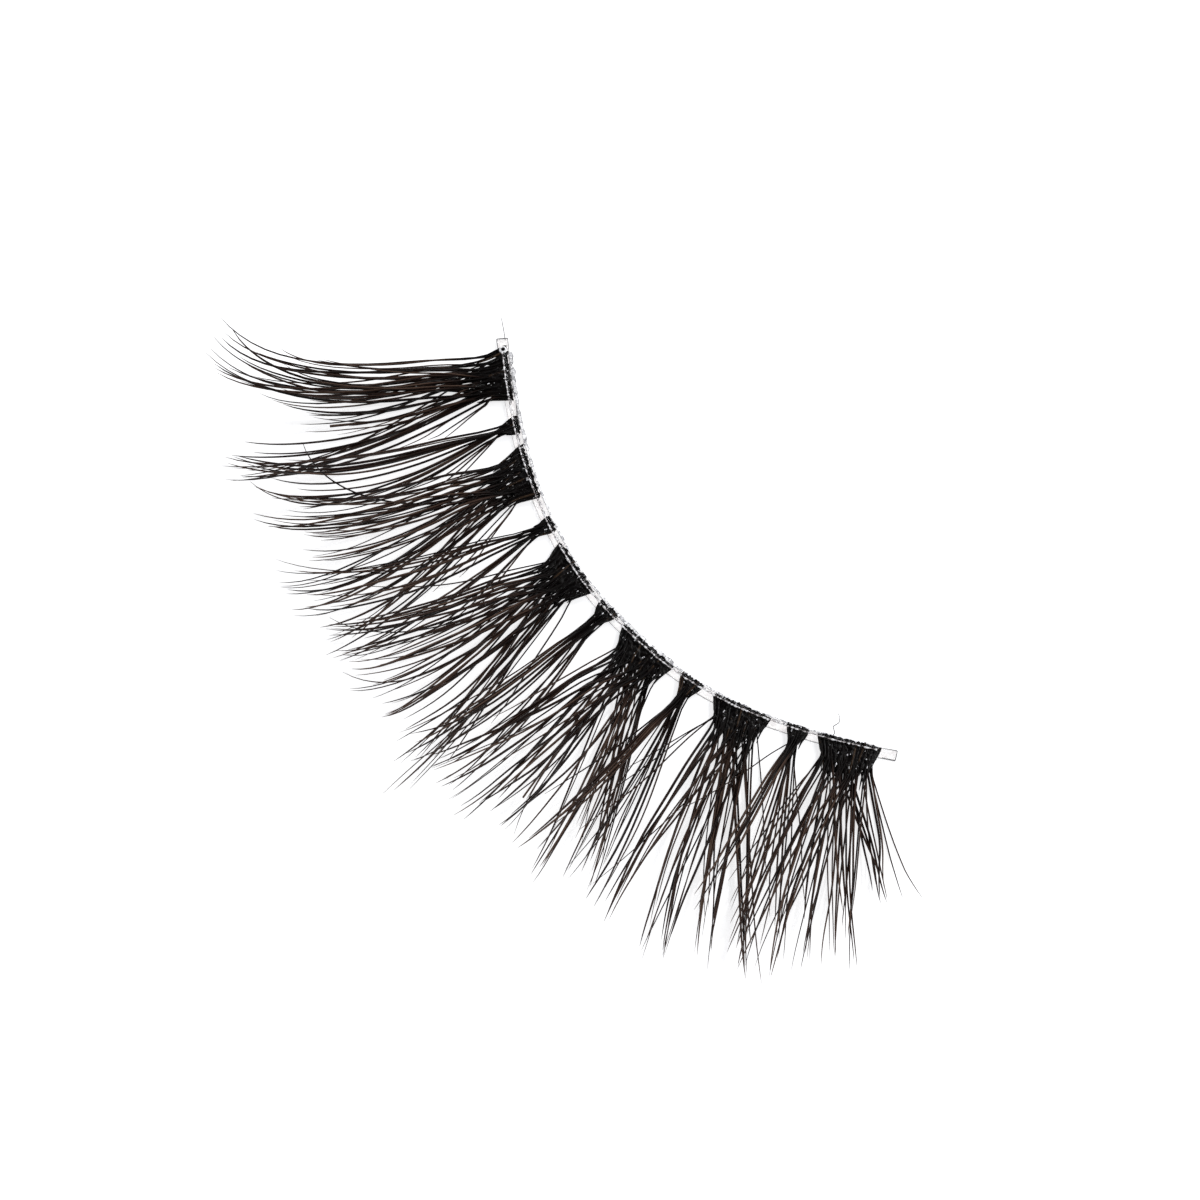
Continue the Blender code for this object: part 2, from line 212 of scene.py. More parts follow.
# Locks: root is the place across the root, from -1 at the cluster's -X side to 1. lean turns a
# lock from the band's outward direction towards +X and bend turns its tip further, in degrees.
# length is a share of LASH_LENGTH, curl one of the cluster's curl, thick one of LOCK_RADIUS.
# Clusters: station is a share of the band's length, width one of the kind's width, and curl the
# angle that the tips have risen to, in degrees.
Lock = namedtuple("Lock", "root lean length bend curl thick")
Cluster = namedtuple("Cluster", "name kind station width curl locks")
CLUSTERS = (
    Cluster("wide_cluster_1", WIDE, 0.063, 0.97, 65, (
        Lock(-0.85, 4, 0.79, 0, 1.00, 0.80),
        Lock(-0.50, 3, 1.02, 0, 1.08, 0.85),
        Lock(-0.15, 5, 1.05, 0, 1.00, 1.00),
        Lock(0.15, 10, 0.88, 0, 0.95, 1.00),
        Lock(0.50, 14, 0.72, 0, 0.70, 0.90),
        Lock(0.85, 20, 1.00, -3, 0.66, 0.95),
    )),
    Cluster("small_cluster_1", SMALL, 0.152, 0.86, 62, (
        Lock(0.55, 6, 1.00, 0, 0.85, 0.75),
        Lock(-0.55, 22, 0.90, -8, 0.85, 0.75),
    )),
    Cluster("wide_cluster_2", WIDE, 0.234, 0.97, 57, (
        Lock(-0.85, 4, 0.99, 0, 1.08, 0.85),
        Lock(-0.50, 9, 1.00, 0, 1.00, 0.90),
        Lock(-0.15, 11, 0.82, 0, 0.90, 0.90),
        Lock(0.15, 15, 0.88, 0, 0.90, 1.00),
        Lock(0.45, 18, 1.00, 0, 0.94, 0.90),
        Lock(0.70, 23, 1.02, -2, 0.94, 0.90),
        Lock(0.90, 30, 0.96, 0, 0.80, 0.90),
    )),
    Cluster("small_cluster_2", SMALL, 0.329, 0.77, 52, (
        Lock(0.55, -2, 1.00, 0, 1.08, 0.75),
        Lock(0.00, 5, 0.94, 0, 1.05, 0.70),
        Lock(-0.55, 20, 0.92, 0, 0.80, 0.75),
    )),
    Cluster("wide_cluster_3", WIDE, 0.412, 1.00, 48, (
        Lock(-0.85, -1, 0.88, 0, 1.00, 0.85),
        Lock(-0.55, 3, 0.88, 0, 0.90, 0.90),
        Lock(-0.25, 6, 0.92, 0, 1.15, 1.00),
        Lock(0.00, 10, 0.96, 0, 1.10, 1.00),
        Lock(0.35, 14, 0.90, 0, 1.00, 1.00),
        Lock(0.65, 19, 0.92, 4, 0.70, 0.95),
        Lock(0.90, 23, 1.00, 8, 0.60, 0.95),
    )),
    Cluster("small_cluster_3", SMALL, 0.497, 1.09, 43, (
        Lock(0.60, 3, 0.88, 2, 1.00, 0.80),
        Lock(0.15, 7, 0.92, 2, 1.00, 0.80),
        Lock(-0.60, 18, 0.90, 0, 1.00, 0.75),
    )),
    Cluster("wide_cluster_4", WIDE, 0.584, 1.06, 38, (
        Lock(-0.85, -2, 0.88, 0, 1.00, 0.80),
        Lock(-0.60, 2, 0.90, 2, 1.00, 0.85),
        Lock(-0.30, 7, 0.95, 3, 1.00, 0.95),
        Lock(0.00, 13, 0.88, 3, 1.00, 1.00),
        Lock(0.30, 21, 1.00, 5, 1.00, 1.10),
        Lock(0.60, 25, 0.92, 5, 1.00, 0.90),
        Lock(0.88, 29, 0.94, 4, 0.90, 0.85),
    )),
    Cluster("small_cluster_4", SMALL, 0.671, 1.18, 34, (
        Lock(0.60, -4, 0.90, 4, 1.10, 0.75),
        Lock(0.10, 9, 0.90, 5, 1.15, 0.80),
        Lock(-0.60, 16, 0.92, 4, 1.00, 0.75),
    )),
    Cluster("wide_cluster_5", WIDE, 0.758, 0.97, 30, (
        Lock(-0.85, 1, 0.96, 8, 1.00, 0.80),
        Lock(-0.55, 8, 1.03, 8, 1.00, 0.90),
        Lock(-0.20, 11, 1.00, 7, 1.00, 0.95),
        Lock(0.15, 16, 0.98, 7, 1.00, 1.05),
        Lock(0.50, 16, 0.90, 8, 1.00, 0.80),
        Lock(0.85, 22, 0.97, 8, 1.00, 0.80),
    )),
    Cluster("small_cluster_5", SMALL, 0.848, 1.05, 29, (
        Lock(0.55, -8, 0.78, 6, 1.00, 0.70),
        Lock(0.00, 5, 0.88, 6, 1.00, 0.70),
        Lock(-0.55, 14, 0.86, 5, 1.00, 0.70),
    )),
    Cluster("wide_cluster_6", WIDE, 0.928, 1.00, 28, (
        Lock(-0.85, -5, 0.92, 10, 1.00, 0.85),
        Lock(-0.55, -1, 0.93, 9, 1.00, 0.95),
        Lock(-0.25, 4, 0.89, 7, 1.00, 0.95),
        Lock(0.10, 9, 0.84, 6, 1.00, 0.90),
        Lock(0.40, 11, 0.82, 6, 1.00, 1.00),
        Lock(0.90, 19, 0.56, 6, 1.00, 0.75),
    )),
)

# Single hairs that leave a cluster on their own way, read as locks are. thick is a share of
# FIBRE_RADIUS, and blunt the least share of it that is left at the tip.
Hair = namedtuple("Hair", "cluster root lean length bend curl thick blunt")
LOOSE_HAIRS = (
    Hair("wide_cluster_1", -0.30, 4.0, 1.010, -16, 1.17, 1.35, 0.30),
    Hair("wide_cluster_1", -0.20, 4.0, 1.040, -14, 1.06, 0.90, 0.2),
    Hair("wide_cluster_1", -0.05, 4.0, 1.050, -8, 1.04, 0.85, 0.2),
    Hair("wide_cluster_1", 0.05, 4.5, 1.060, -8, 1.02, 0.85, 0.2),
    Hair("wide_cluster_1", 0.80, 9.5, 0.560, 0, 0.25, 1.50, 0.9),
    Hair("wide_cluster_1", 0.55, 16.0, 0.900, -2, 0.66, 1.25, 0.1),
    Hair("wide_cluster_1", 0.70, 18.0, 0.960, -3, 0.68, 1.30, 0.1),
    Hair("wide_cluster_1", 0.78, 18.5, 0.880, -4, 0.66, 1.15, 0.1),
    Hair("wide_cluster_1", 0.92, 21.0, 0.940, -3, 0.62, 1.20, 0.1),
    Hair("wide_cluster_1", 0.60, 19.5, 1.000, -3, 0.64, 1.00, 0.1),
    Hair("wide_cluster_1", 0.92, 30.0, 0.300, 0, 0.40, 0.80, 0.2),
    Hair("wide_cluster_1", 0.96, 35.0, 0.260, 0, 0.40, 0.70, 0.2),
    Hair("wide_cluster_1", 0.80, 27.0, 0.420, 4, 0.40, 0.70, 0.2),
    Hair("small_cluster_1", 0.20, 9.0, 0.940, 0, 0.85, 1.20, 0.1),
    Hair("small_cluster_1", 0.00, 11.5, 0.860, -2, 0.85, 1.10, 0.1),
    Hair("small_cluster_1", -0.20, 15.0, 0.880, -4, 0.85, 1.15, 0.1),
    Hair("small_cluster_1", -0.30, 19.0, 0.800, -6, 0.80, 1.00, 0.1),
    Hair("small_cluster_1", -0.40, 32.0, 0.360, 0, 0.40, 0.85, 0.2),
    Hair("small_cluster_1", -0.60, 38.0, 0.300, 0, 0.40, 0.75, 0.2),
    Hair("small_cluster_1", -0.20, 27.0, 0.450, 0, 0.50, 0.75, 0.2),
    Hair("wide_cluster_2", 0.75, -8.0, 0.890, -26, 1.45, 0.95, 0.3),
    Hair("wide_cluster_2", -0.90, 5.0, 1.020, -4, 1.20, 0.80, 0.2),
    Hair("wide_cluster_2", 0.95, 36.0, 0.480, 0, 0.40, 0.80, 0.2),
    Hair("wide_cluster_2", 0.90, 40.0, 0.380, 0, 0.40, 0.70, 0.2),
    Hair("small_cluster_2", -0.50, 28.0, 0.520, 0, 0.50, 0.80, 0.2),
    Hair("small_cluster_2", -0.60, 33.0, 0.420, 0, 0.50, 0.75, 0.2),
    Hair("wide_cluster_3", -0.90, -12.0, 0.640, -12, 0.50, 0.70, 0.2),
    Hair("wide_cluster_3", -0.20, 2.0, 0.900, -26, 1.20, 0.75, 0.2),
    Hair("wide_cluster_3", 0.30, 12.0, 1.000, -20, 1.30, 0.80, 0.2),
    Hair("wide_cluster_3", 0.95, 31.0, 0.560, 0, 0.40, 0.80, 0.2),
    Hair("small_cluster_3", 0.40, 1.0, 0.960, 14, 0.40, 0.70, 0.2),
    Hair("wide_cluster_4", -0.95, -9.0, 0.520, 0, 0.50, 0.80, 0.2),
    Hair("wide_cluster_4", 0.20, 2.0, 0.760, 30, 0.20, 0.75, 0.2),
    Hair("wide_cluster_4", -0.10, 9.0, 0.640, 4, 0.20, 1.10, 0.9),
    Hair("wide_cluster_4", 0.60, 33.0, 0.880, 0, 0.80, 0.80, 0.2),
    Hair("small_cluster_4", 0.70, -12.0, 0.620, 0, 0.60, 0.80, 0.2),
    Hair("wide_cluster_5", -1.00, -17.0, 0.640, 0, 0.50, 0.75, 0.2),
    Hair("wide_cluster_5", -0.95, -22.0, 0.500, 3, 0.40, 0.65, 0.2),
    Hair("wide_cluster_5", -0.90, -27.0, 0.400, 0, 0.40, 0.60, 0.2),
    Hair("wide_cluster_5", 0.80, -14.0, 0.800, 0, 0.60, 0.60, 0.2),
    Hair("wide_cluster_5", 0.90, 30.0, 0.560, 0, 0.50, 0.65, 0.2),
    Hair("small_cluster_5", 0.30, -33.0, 0.500, 0, 0.50, 0.60, 0.2),
    Hair("small_cluster_5", -0.50, 22.0, 0.620, 4, 0.60, 0.70, 0.2),
    Hair("wide_cluster_6", -0.90, -18.0, 0.600, 4, 0.60, 0.70, 0.2),
    Hair("wide_cluster_6", -0.95, -9.0, 0.860, 8, 0.90, 1.00, 0.1),
    Hair("wide_cluster_6", -0.85, -12.0, 0.760, 9, 0.90, 0.95, 0.1),
    Hair("wide_cluster_6", -0.95, -14.0, 0.680, 8, 0.80, 0.85, 0.1),
    Hair("wide_cluster_6", 0.80, 18.0, 0.520, 5, 0.80, 0.80, 0.2),
    Hair("wide_cluster_6", 0.90, 25.0, 0.530, 6, 0.80, 0.80, 0.2),
    Hair("wide_cluster_6", 0.95, 31.0, 0.540, 8, 0.80, 0.75, 0.2),
)

# Wisps that cling to the band: station is a share of its length, and goes past its end where the
# wisp does. out and height are in millimetres, and out is negative on the eyelid side.
WispPoint = namedtuple("WispPoint", "station out height")
END_WISP = (
    WispPoint(station=0.004, out=-0.13, height=0.18),
    WispPoint(station=-0.010, out=-0.12, height=0.22),
    WispPoint(station=-0.023, out=-0.09, height=0.26),
    WispPoint(station=-0.036, out=-0.05, height=0.28),
)
CURLY_WISP = (
    WispPoint(station=0.900, out=-0.20, height=0.16),
    WispPoint(station=0.902, out=-0.45, height=0.22),
    WispPoint(station=0.897, out=-0.72, height=0.30),
    WispPoint(station=0.904, out=-0.98, height=0.36),
    WispPoint(station=0.903, out=-1.25, height=0.40),
    WispPoint(station=0.897, out=-1.50, height=0.42),
)

# Dark grey lines painted as shade along the film's cut ends, at the band's first and last station
FIRST_END = (
    WispPoint(station=0.018, out=0.27, height=0.14),
    WispPoint(station=0.000, out=0.28, height=0.14),
    WispPoint(station=0.000, out=-0.28, height=0.14),
    WispPoint(station=0.026, out=-0.27, height=0.14),
)
LAST_END = (
    WispPoint(station=0.980, out=0.27, height=0.14),
    WispPoint(station=1.000, out=0.28, height=0.14),
    WispPoint(station=1.000, out=-0.28, height=0.14),
    WispPoint(station=0.974, out=-0.27, height=0.14),
)

# How far the glue of a line swells, from one end of the band to the other
GluePoint = namedtuple("GluePoint", "station swell")
EVEN_GLUE = (
    GluePoint(station=0.00, swell=1.00),
    GluePoint(station=1.00, swell=1.00),
)
EDGE_GLUE = (
    GluePoint(station=0.00, swell=0.50),
    GluePoint(station=0.03, swell=1.00),
    GluePoint(station=0.16, swell=1.00),
    GluePoint(station=0.22, swell=0.55),
    GluePoint(station=0.36, swell=0.45),
    GluePoint(station=0.44, swell=0.25),
    GluePoint(station=0.50, swell=0.85),
    GluePoint(station=0.56, swell=1.15),
    GluePoint(station=0.61, swell=1.00),
    GluePoint(station=0.67, swell=0.40),
    GluePoint(station=0.84, swell=0.45),
    GluePoint(station=1.00, swell=0.30),
)

# Uneven lines of glue or thread. out is the distance from the band's middle line and inset what
# is left free at each end, as a share of its length. lumps is how strongly the radius varies,
# grain how fine the lumps are, and sway how far the line leaves its way.
GlueLine = namedtuple("GlueLine", "out height inset swells radius lumps grain sway sides steps")
EDGE_LINE = GlueLine(
    out=-0.00031,
    height=0.00014,
    inset=0.026,
    swells=EDGE_GLUE,
    radius=0.00011,
    lumps=2.2,
    grain=2600.0,
    sway=0.00022,
    sides=10,
    steps=420,
)
ROOT_LINE = GlueLine(
    out=0.00002,
    height=0.00051,
    inset=0.03,
    swells=EVEN_GLUE,
    radius=0.000045,
    lumps=3.0,
    grain=4200.0,
    sway=0.00020,
    sides=8,
    steps=420,
)
THREAD_LINE = GlueLine(
    out=0.00010,
    height=0.00057,
    inset=0.029,
    swells=EVEN_GLUE,
    radius=0.000030,
    lumps=5.0,
    grain=7000.0,
    sway=0.00010,
    sides=8,
    steps=560,
)

# What a fibre tree makes where nothing else is said: one plain fibre on each guide
PLAIN_FIBRES = {
    "Fibres per lock": 1,
    "Root mix": 0.0,
    "Gather end": 0.70,
    "Lock half width": 0.0,
    "Tip spread": 0.0,
    "Stray reach": 0.0,
    "Tip drop": 0.0,
    "Shortest": 0.0,
    "Root cut": 0.0,
    "Wave": 0.0,
    "Fibre radius": FIBRE_RADIUS,
    "Thinnest": 1.0,
    "Thickest": 1.0,
    "Sides": FIBRE_SIDES,
    "Steps": 2 * FIBRE_STEPS,
}

# Heights that follow from the sizes above
HEAD_BOTTOM = BAND_THICKNESS + LAYER_GAP
HEAD_MIDDLE = HEAD_BOTTOM + HEAD_THICKNESS / 2


def read_table(table, column, value, at):
    """Read a table's value column at a place in its first column, straight between two rows."""
    for low, high in zip(table, table[1:]):
        start, end = getattr(low, column), getattr(high, column)
        if at <= end or high is table[-1]:
            share = min(1.0, (at - start) / (end - start))
            return getattr(low, value) + share * (getattr(high, value) - getattr(low, value))


def band_heading(station):
    """Heading of the band's middle line in radians, which is 0 halfway along."""
    turned = read_table(BAND_BENDS, "length", "turn", station)
    middle = read_table(BAND_BENDS, "length", "turn", 0.5)
    return math.radians(BAND_TURN) * (turned - middle)


def along(heading):
    """Unit direction along the band."""
    return Vector((math.cos(heading), math.sin(heading), 0.0))


def outward(heading):
    """Unit direction from the band towards the lashes."""
    return Vector((math.sin(heading), -math.cos(heading), 0.0))


def band_point(station):
    """Point of the band's middle line at a share of its length, walked from halfway along."""
    step = (station - 0.5) / BAND_WALK_STEPS
    point = Vector((0.0, 0.0, 0.0))
    for i in range(BAND_WALK_STEPS):
        point += step * BAND_LENGTH * along(band_heading(0.5 + (i + 0.5) * step))
    return point


def smooth(share):
    """Ease from 0 to 1."""
    share = min(max(share, 0.0), 1.0)
    return share * share * (3 - 2 * share)


def root_width(cluster):
    """Width of a cluster where it meets the band."""
    return cluster.width * cluster.kind.width


def mean_lean(cluster):
    """Mean lean of a cluster's locks in radians, which its head follows."""
    return math.radians(sum(lock.lean for lock in cluster.locks) / len(cluster.locks))


def half_width(cluster, out):
    """Half the width of a cluster's head at a distance out from the band's middle line."""
    share = max(out, 0.0) / cluster.kind.head_length
    return root_width(cluster) / 2 * read_table(cluster.kind.outline, "out", "width", share)


def root_out():
    """Distance out from the band's middle line where the fibres' root ends lie."""
    return ROOT_INSET - BAND_WIDTH / 2


# Where a head stands on the band: its place there, the directions along the band and outwards,
# and how far it leans along the band for each metre outwards
Stand = namedtuple("Stand", "place along outward lean")


def head_stand(cluster):
    """Where a cluster's head stands on the band."""
    heading = band_heading(cluster.station)
    lean = math.tan(mean_lean(cluster))
    return Stand(band_point(cluster.station), along(heading), outward(heading), lean)


def head_place(stand, across, out):
    """A place in a head, across from its own middle and out from the band's, at no height."""
    sideways = across + stand.lean * max(out, 0.0)
    return stand.place + sideways * stand.along + out * stand.outward


# One point of a guide that fibres follow: where it is, half the head's width there as a vector,
# how thick the bundle is, and which share of the lash is behind it
GuidePoint = namedtuple("GuidePoint", "place across bundle share")


def lock_lay(cluster, lock):
    """Height at which a lock lies once it has left the head, as locks that lean less lie higher."""
    steepest = max(other.lean for other in cluster.locks)
    return lock.thick * LOCK_RADIUS + LAY_RISE_PER_DEGREE * (steepest - lock.lean)


def lock_guide(cluster, lock, lay):
    """Guide points of one lock, from its root end on the band to its tip."""
    stand = head_stand(cluster)
    heading = band_heading(cluster.station)
    start_out = LOCK_START * cluster.kind.head_length
    places, halves, bundles = [], [], []

    for out in [root_out()] + [share * start_out for share in BEFORE_START]:
        half = half_width(cluster, out)
        place = head_place(stand, lock.root * (half - LOCK_START_RADIUS), out)
        places.append(place + Vector((0.0, 0.0, HEAD_MIDDLE)))
        halves.append(half)
        bundles.append(HEAD_LAYER)

    across = lock.root * (half_width(cluster, start_out) - LOCK_START_RADIUS)
    point = head_place(stand, across, start_out)
    thick = lock.thick * LOCK_RADIUS
    steps = LOCK_POINTS - 1
    step = (lock.length * LASH_LENGTH - start_out) / steps
    rise = 0.0
    for i in range(LOCK_POINTS):
        t = i / steps
        height = HEAD_MIDDLE + (lay - HEAD_MIDDLE) * smooth(t / FLAT_SHARE) + rise
        places.append(Vector((point.x, point.y, height)))
        halves.append(half_width(cluster, start_out + t * lock.length * LASH_LENGTH))
        bundles.append(thick * read_table(LOCK_TAPER, "along", "radius", t))
        middle = t + 0.5 / steps
        risen = max(0.0, middle - FLAT_SHARE) / (1 - FLAT_SHARE)
        pitch = math.radians(cluster.curl * lock.curl) * risen
        turn = heading + math.radians(lock.lean + lock.bend * middle ** 2)
        point = point + step * math.cos(pitch) * outward(turn)
        rise += step * math.sin(pitch)

    lengths = [0.0]
    for before, after in zip(places, places[1:]):
        lengths.append(lengths[-1] + (after - before).length)
    return [
        GuidePoint(place, half * stand.along, bundle, length / lengths[-1])
        for place, half, bundle, length in zip(places, halves, bundles, lengths)
    ]


def linked_object(name, data):
    """A new object of the scene, at the origin, for a mesh, a light or a camera."""
    made = bpy.data.objects.new(name, data)
    bpy.context.scene.collection.objects.link(made)
    return made


def point_values(mesh, name, values):
    """Store a number on each point of a mesh."""
    mesh.attributes.new(name, "FLOAT", "POINT").data.foreach_set("value", values)


def guide_object(name, guides, roots, thick=None, blunt=None):
    """A mesh of open lines, one for each guide, with what its fibres need stored on its points."""
    points = [point for guide in guides for point in guide]
    edges, first = [], 0
    for guide in guides:
        edges += [(first + i, first + i + 1) for i in range(len(guide) - 1)]
        first += len(guide)
    mesh = bpy.data.meshes.new(name)
    mesh.from_pydata([point.place for point in points], edges, [])
    across = mesh.attributes.new("across", "FLOAT_VECTOR", "POINT")
    across.data.foreach_set("vector", [value for point in points for value in point.across])
    point_values(mesh, "bundle", [point.bundle for point in points])
    point_values(mesh, "share", [point.share for point in points])
    per_guide = {
        "root": roots,
        "thick": thick or [1.0] * len(guides),
        "blunt": blunt or [0.0] * len(guides),
    }
    for label, values in per_guide.items():
        point_values(mesh, label, [value for guide, value in zip(guides, values) for _ in guide])
    return linked_object(name, mesh)


def head_guide(cluster, place, layer):
    """Guide points of a glued strand, which follows the outline of its cluster's head."""
    stand = head_stand(cluster)
    # Each strand has its own place in the noise
    uneven = noise.noise(Vector((5.3 * place, 40 * cluster.station, 3.1 * layer)))
    ragged = noise.noise(Vector((9.7 * place, 17 * cluster.station, layer)))
    reach = cluster.kind.head_length * (STRAND_REACH + STRAND_UNEVEN * uneven)
    start = root_out() + ROOT_RAGGED * ragged
    points = []
    for i in range(LOCK_POINTS):
        share = i / (LOCK_POINTS - 1)
        out = start + share * (reach - start)
        at = head_place(stand, place * half_width(cluster, out), out)
        at.z = HEAD_MIDDLE + layer * STRAND_HEIGHT
        points.append(GuidePoint(at, stand.along * HEAD_LAYER, STRAND_BUNDLE, share))
    return points


def socket_named(sockets, name):
    """The socket that has this name or identifier."""
    return next(socket for socket in sockets if name in (socket.identifier, socket.name))


def plug(tree, socket, value):
    """Link a socket to another one, or set it to a plain value."""
    if isinstance(value, bpy.types.NodeSocket):
        tree.links.new(value, socket)
    else:
        socket.default_value = value


def plug_all(tree, owner, inputs):
    """Link or set a node's inputs that are given by name."""
    for name, value in inputs.items():
        plug(tree, socket_named(owner.inputs, name), value)


def node(tree, kind, inputs=None, **settings):
    """Add a node, with its settings and the inputs that are given by name."""
    made = tree.nodes.new(kind)
    for name, value in settings.items():
        setattr(made, name, value)
    plug_all(tree, made, inputs or {})
    return made


def math_of(tree, operation, first, second=0.0):
    """A Math node's result for two values or sockets."""
    made = node(tree, "ShaderNodeMath", operation=operation)
    plug(tree, made.inputs[0], first)
    plug(tree, made.inputs[1], second)
    return made.outputs["Value"]


def less(tree, first, second):
    """The first value or socket less the second."""
    return math_of(tree, "SUBTRACT", first, second)


def product(tree, first, *others):
    """Values or sockets multiplied together."""
    for other in others:
        first = math_of(tree, "MULTIPLY", first, other)
    return first


def total(tree, first, *others):
    """Values or sockets added together."""
    for other in others:
        first = math_of(tree, "ADD", first, other)
    return first


def signed_power(tree, value, power):
    """A power that keeps the value's sign."""
    size = math_of(tree, "POWER", math_of(tree, "ABSOLUTE", value), power)
    return product(tree, size, math_of(tree, "SIGN", value))


def parts_of(tree, vector):
    """A vector's parts by name: X, Y and Z."""
    return node(tree, "ShaderNodeSeparateXYZ", {"Vector": vector}).outputs


def vector_of(tree, **parts):
    """A vector from its parts X, Y and Z, which are 0 where they aren't given."""
    return node(tree, "ShaderNodeCombineXYZ", parts).outputs["Vector"]


def scaled(tree, vector, scale):
    """A vector multiplied by a value."""
    inputs = {"Vector": vector, "Scale": scale}
    return node(tree, "ShaderNodeVectorMath", inputs, operation="SCALE").outputs["Vector"]


def summed(tree, first, *others):
    """Vectors added together."""
    for other in others:
        added = node(tree, "ShaderNodeVectorMath", operation="ADD")
        plug(tree, added.inputs[0], first)
        plug(tree, added.inputs[1], other)
        first = added.outputs["Vector"]
    return first


def eased(tree, value, start, end):
    """Rise smoothly from 0 to 1 as value goes from start to end."""
    inputs = {"Value": value, "From Min": start, "From Max": end}
    made = node(tree, "ShaderNodeMapRange", inputs, interpolation_type="SMOOTHSTEP")
    return made.outputs["Result"]


def random_value(tree, low, high, seed, number):
    """A random number for each element, another one for each number."""
    inputs = {"Min_001": low, "Max_001": high, "Seed": math_of(tree, "ADD", seed, number)}
    made = node(tree, "FunctionNodeRandomValue", inputs, data_type="FLOAT")
    return socket_named(made.outputs, "Value_001")


def stored(tree, name, kind="FLOAT"):
    """A value that the guides carry on their points."""
    made = node(tree, "GeometryNodeInputNamedAttribute", {"Name": name}, data_type=kind)
    return made.outputs["Attribute"]


def captured(tree, geometry, domain, fields):
    """Hold fields on a geometry as they are now. Returns the geometry and the held values."""
    made = node(tree, "GeometryNodeCaptureAttribute", {"Geometry": geometry}, domain=domain)
    for name, field in fields.items():
        made.capture_items.new("FLOAT", name)
        tree.links.new(field, made.inputs[name])
    return made.outputs["Geometry"], {name: made.outputs[name] for name in fields}


def store_value(tree, geometry, name, value):
    """Store a value on the points, under a name that a material reads."""
    inputs = {"Geometry": geometry, "Name": name, "Value": value}
    made = node(tree, "GeometryNodeStoreNamedAttribute", inputs, data_type="FLOAT", domain="POINT")
    return made.outputs["Geometry"]


def new_tree(name, sockets):
    """A node tree with a geometry input and output, and the named inputs of each kind."""
    tree = bpy.data.node_groups.new(name, "GeometryNodeTree")
    tree.interface.new_socket("Geometry", in_out="INPUT", socket_type="NodeSocketGeometry")
    for kind, labels in sockets.items():
        for label in labels:
            tree.interface.new_socket(label, in_out="INPUT", socket_type="NodeSocket" + kind)
    tree.interface.new_socket("Geometry", in_out="OUTPUT", socket_type="NodeSocketGeometry")
    return tree, node(tree, "NodeGroupInput").outputs


def tubes_along(tree, curves, sides, radius):
    """Closed tubes along curves."""
    ring = node(tree, "GeometryNodeCurvePrimitiveCircle", {"Resolution": sides, "Radius": 1.0})
    inputs = {
        "Curve": curves,
        "Profile Curve": ring.outputs["Curve"],
        "Scale": radius,
        "Fill Caps": True,
    }
    return node(tree, "GeometryNodeCurveToMesh", inputs).outputs["Mesh"]


def end_tree(tree, geometry, surface):
    """Finish a tree: smooth shading, real geometry and its material."""
    smooth_shaded = node(tree, "GeometryNodeSetShadeSmooth", {"Geometry": geometry})
    real = node(tree, "GeometryNodeRealizeInstances", {"Geometry": smooth_shaded.outputs["Geometry"]})
    inputs = {"Geometry": real.outputs["Geometry"], "Material": surface}
    coloured = node(tree, "GeometryNodeSetMaterial", inputs)
    node(tree, "NodeGroupOutput", {"Geometry": coloured.outputs["Geometry"]})


# Along a fibre or lock, shares of: a fibre's radius, a lock's width beside its neighbours, and a
# glued strand's radius
AlongPoint = namedtuple("AlongPoint", "along value")
FIBRE_TAPER = (
    AlongPoint(along=0.00, value=0.90),
    AlongPoint(along=0.25, value=1.00),
    AlongPoint(along=0.60, value=0.94),
    AlongPoint(along=0.85, value=0.66),
    AlongPoint(along=1.00, value=0.09),
)
LOCK_WIDTH = (
    AlongPoint(along=0.00, value=0.80),
    AlongPoint(along=0.20, value=0.95),
    AlongPoint(along=0.45, value=1.00),
    AlongPoint(along=0.75, value=0.52),
    AlongPoint(along=1.00, value=0.12),
)
STRAND_TAPER = (
    AlongPoint(along=0.00, value=0.80),
    AlongPoint(along=0.30, value=1.00),
    AlongPoint(along=0.75, value=0.72),
    AlongPoint(along=1.00, value=0.25),
)


def shaped(tree, value, table):
    """A value passed through the smooth curve that a table gives."""
    made = node(tree, "ShaderNodeFloatCurve", {"Value": value})
    points = made.mapping.curves[0].points
    points[0].location = table[0]
    points[1].location = table[-1]
    for row in table[1:-1]:
        points.new(row.along, row.value)
    made.mapping.update()
    return made.outputs["Value"]


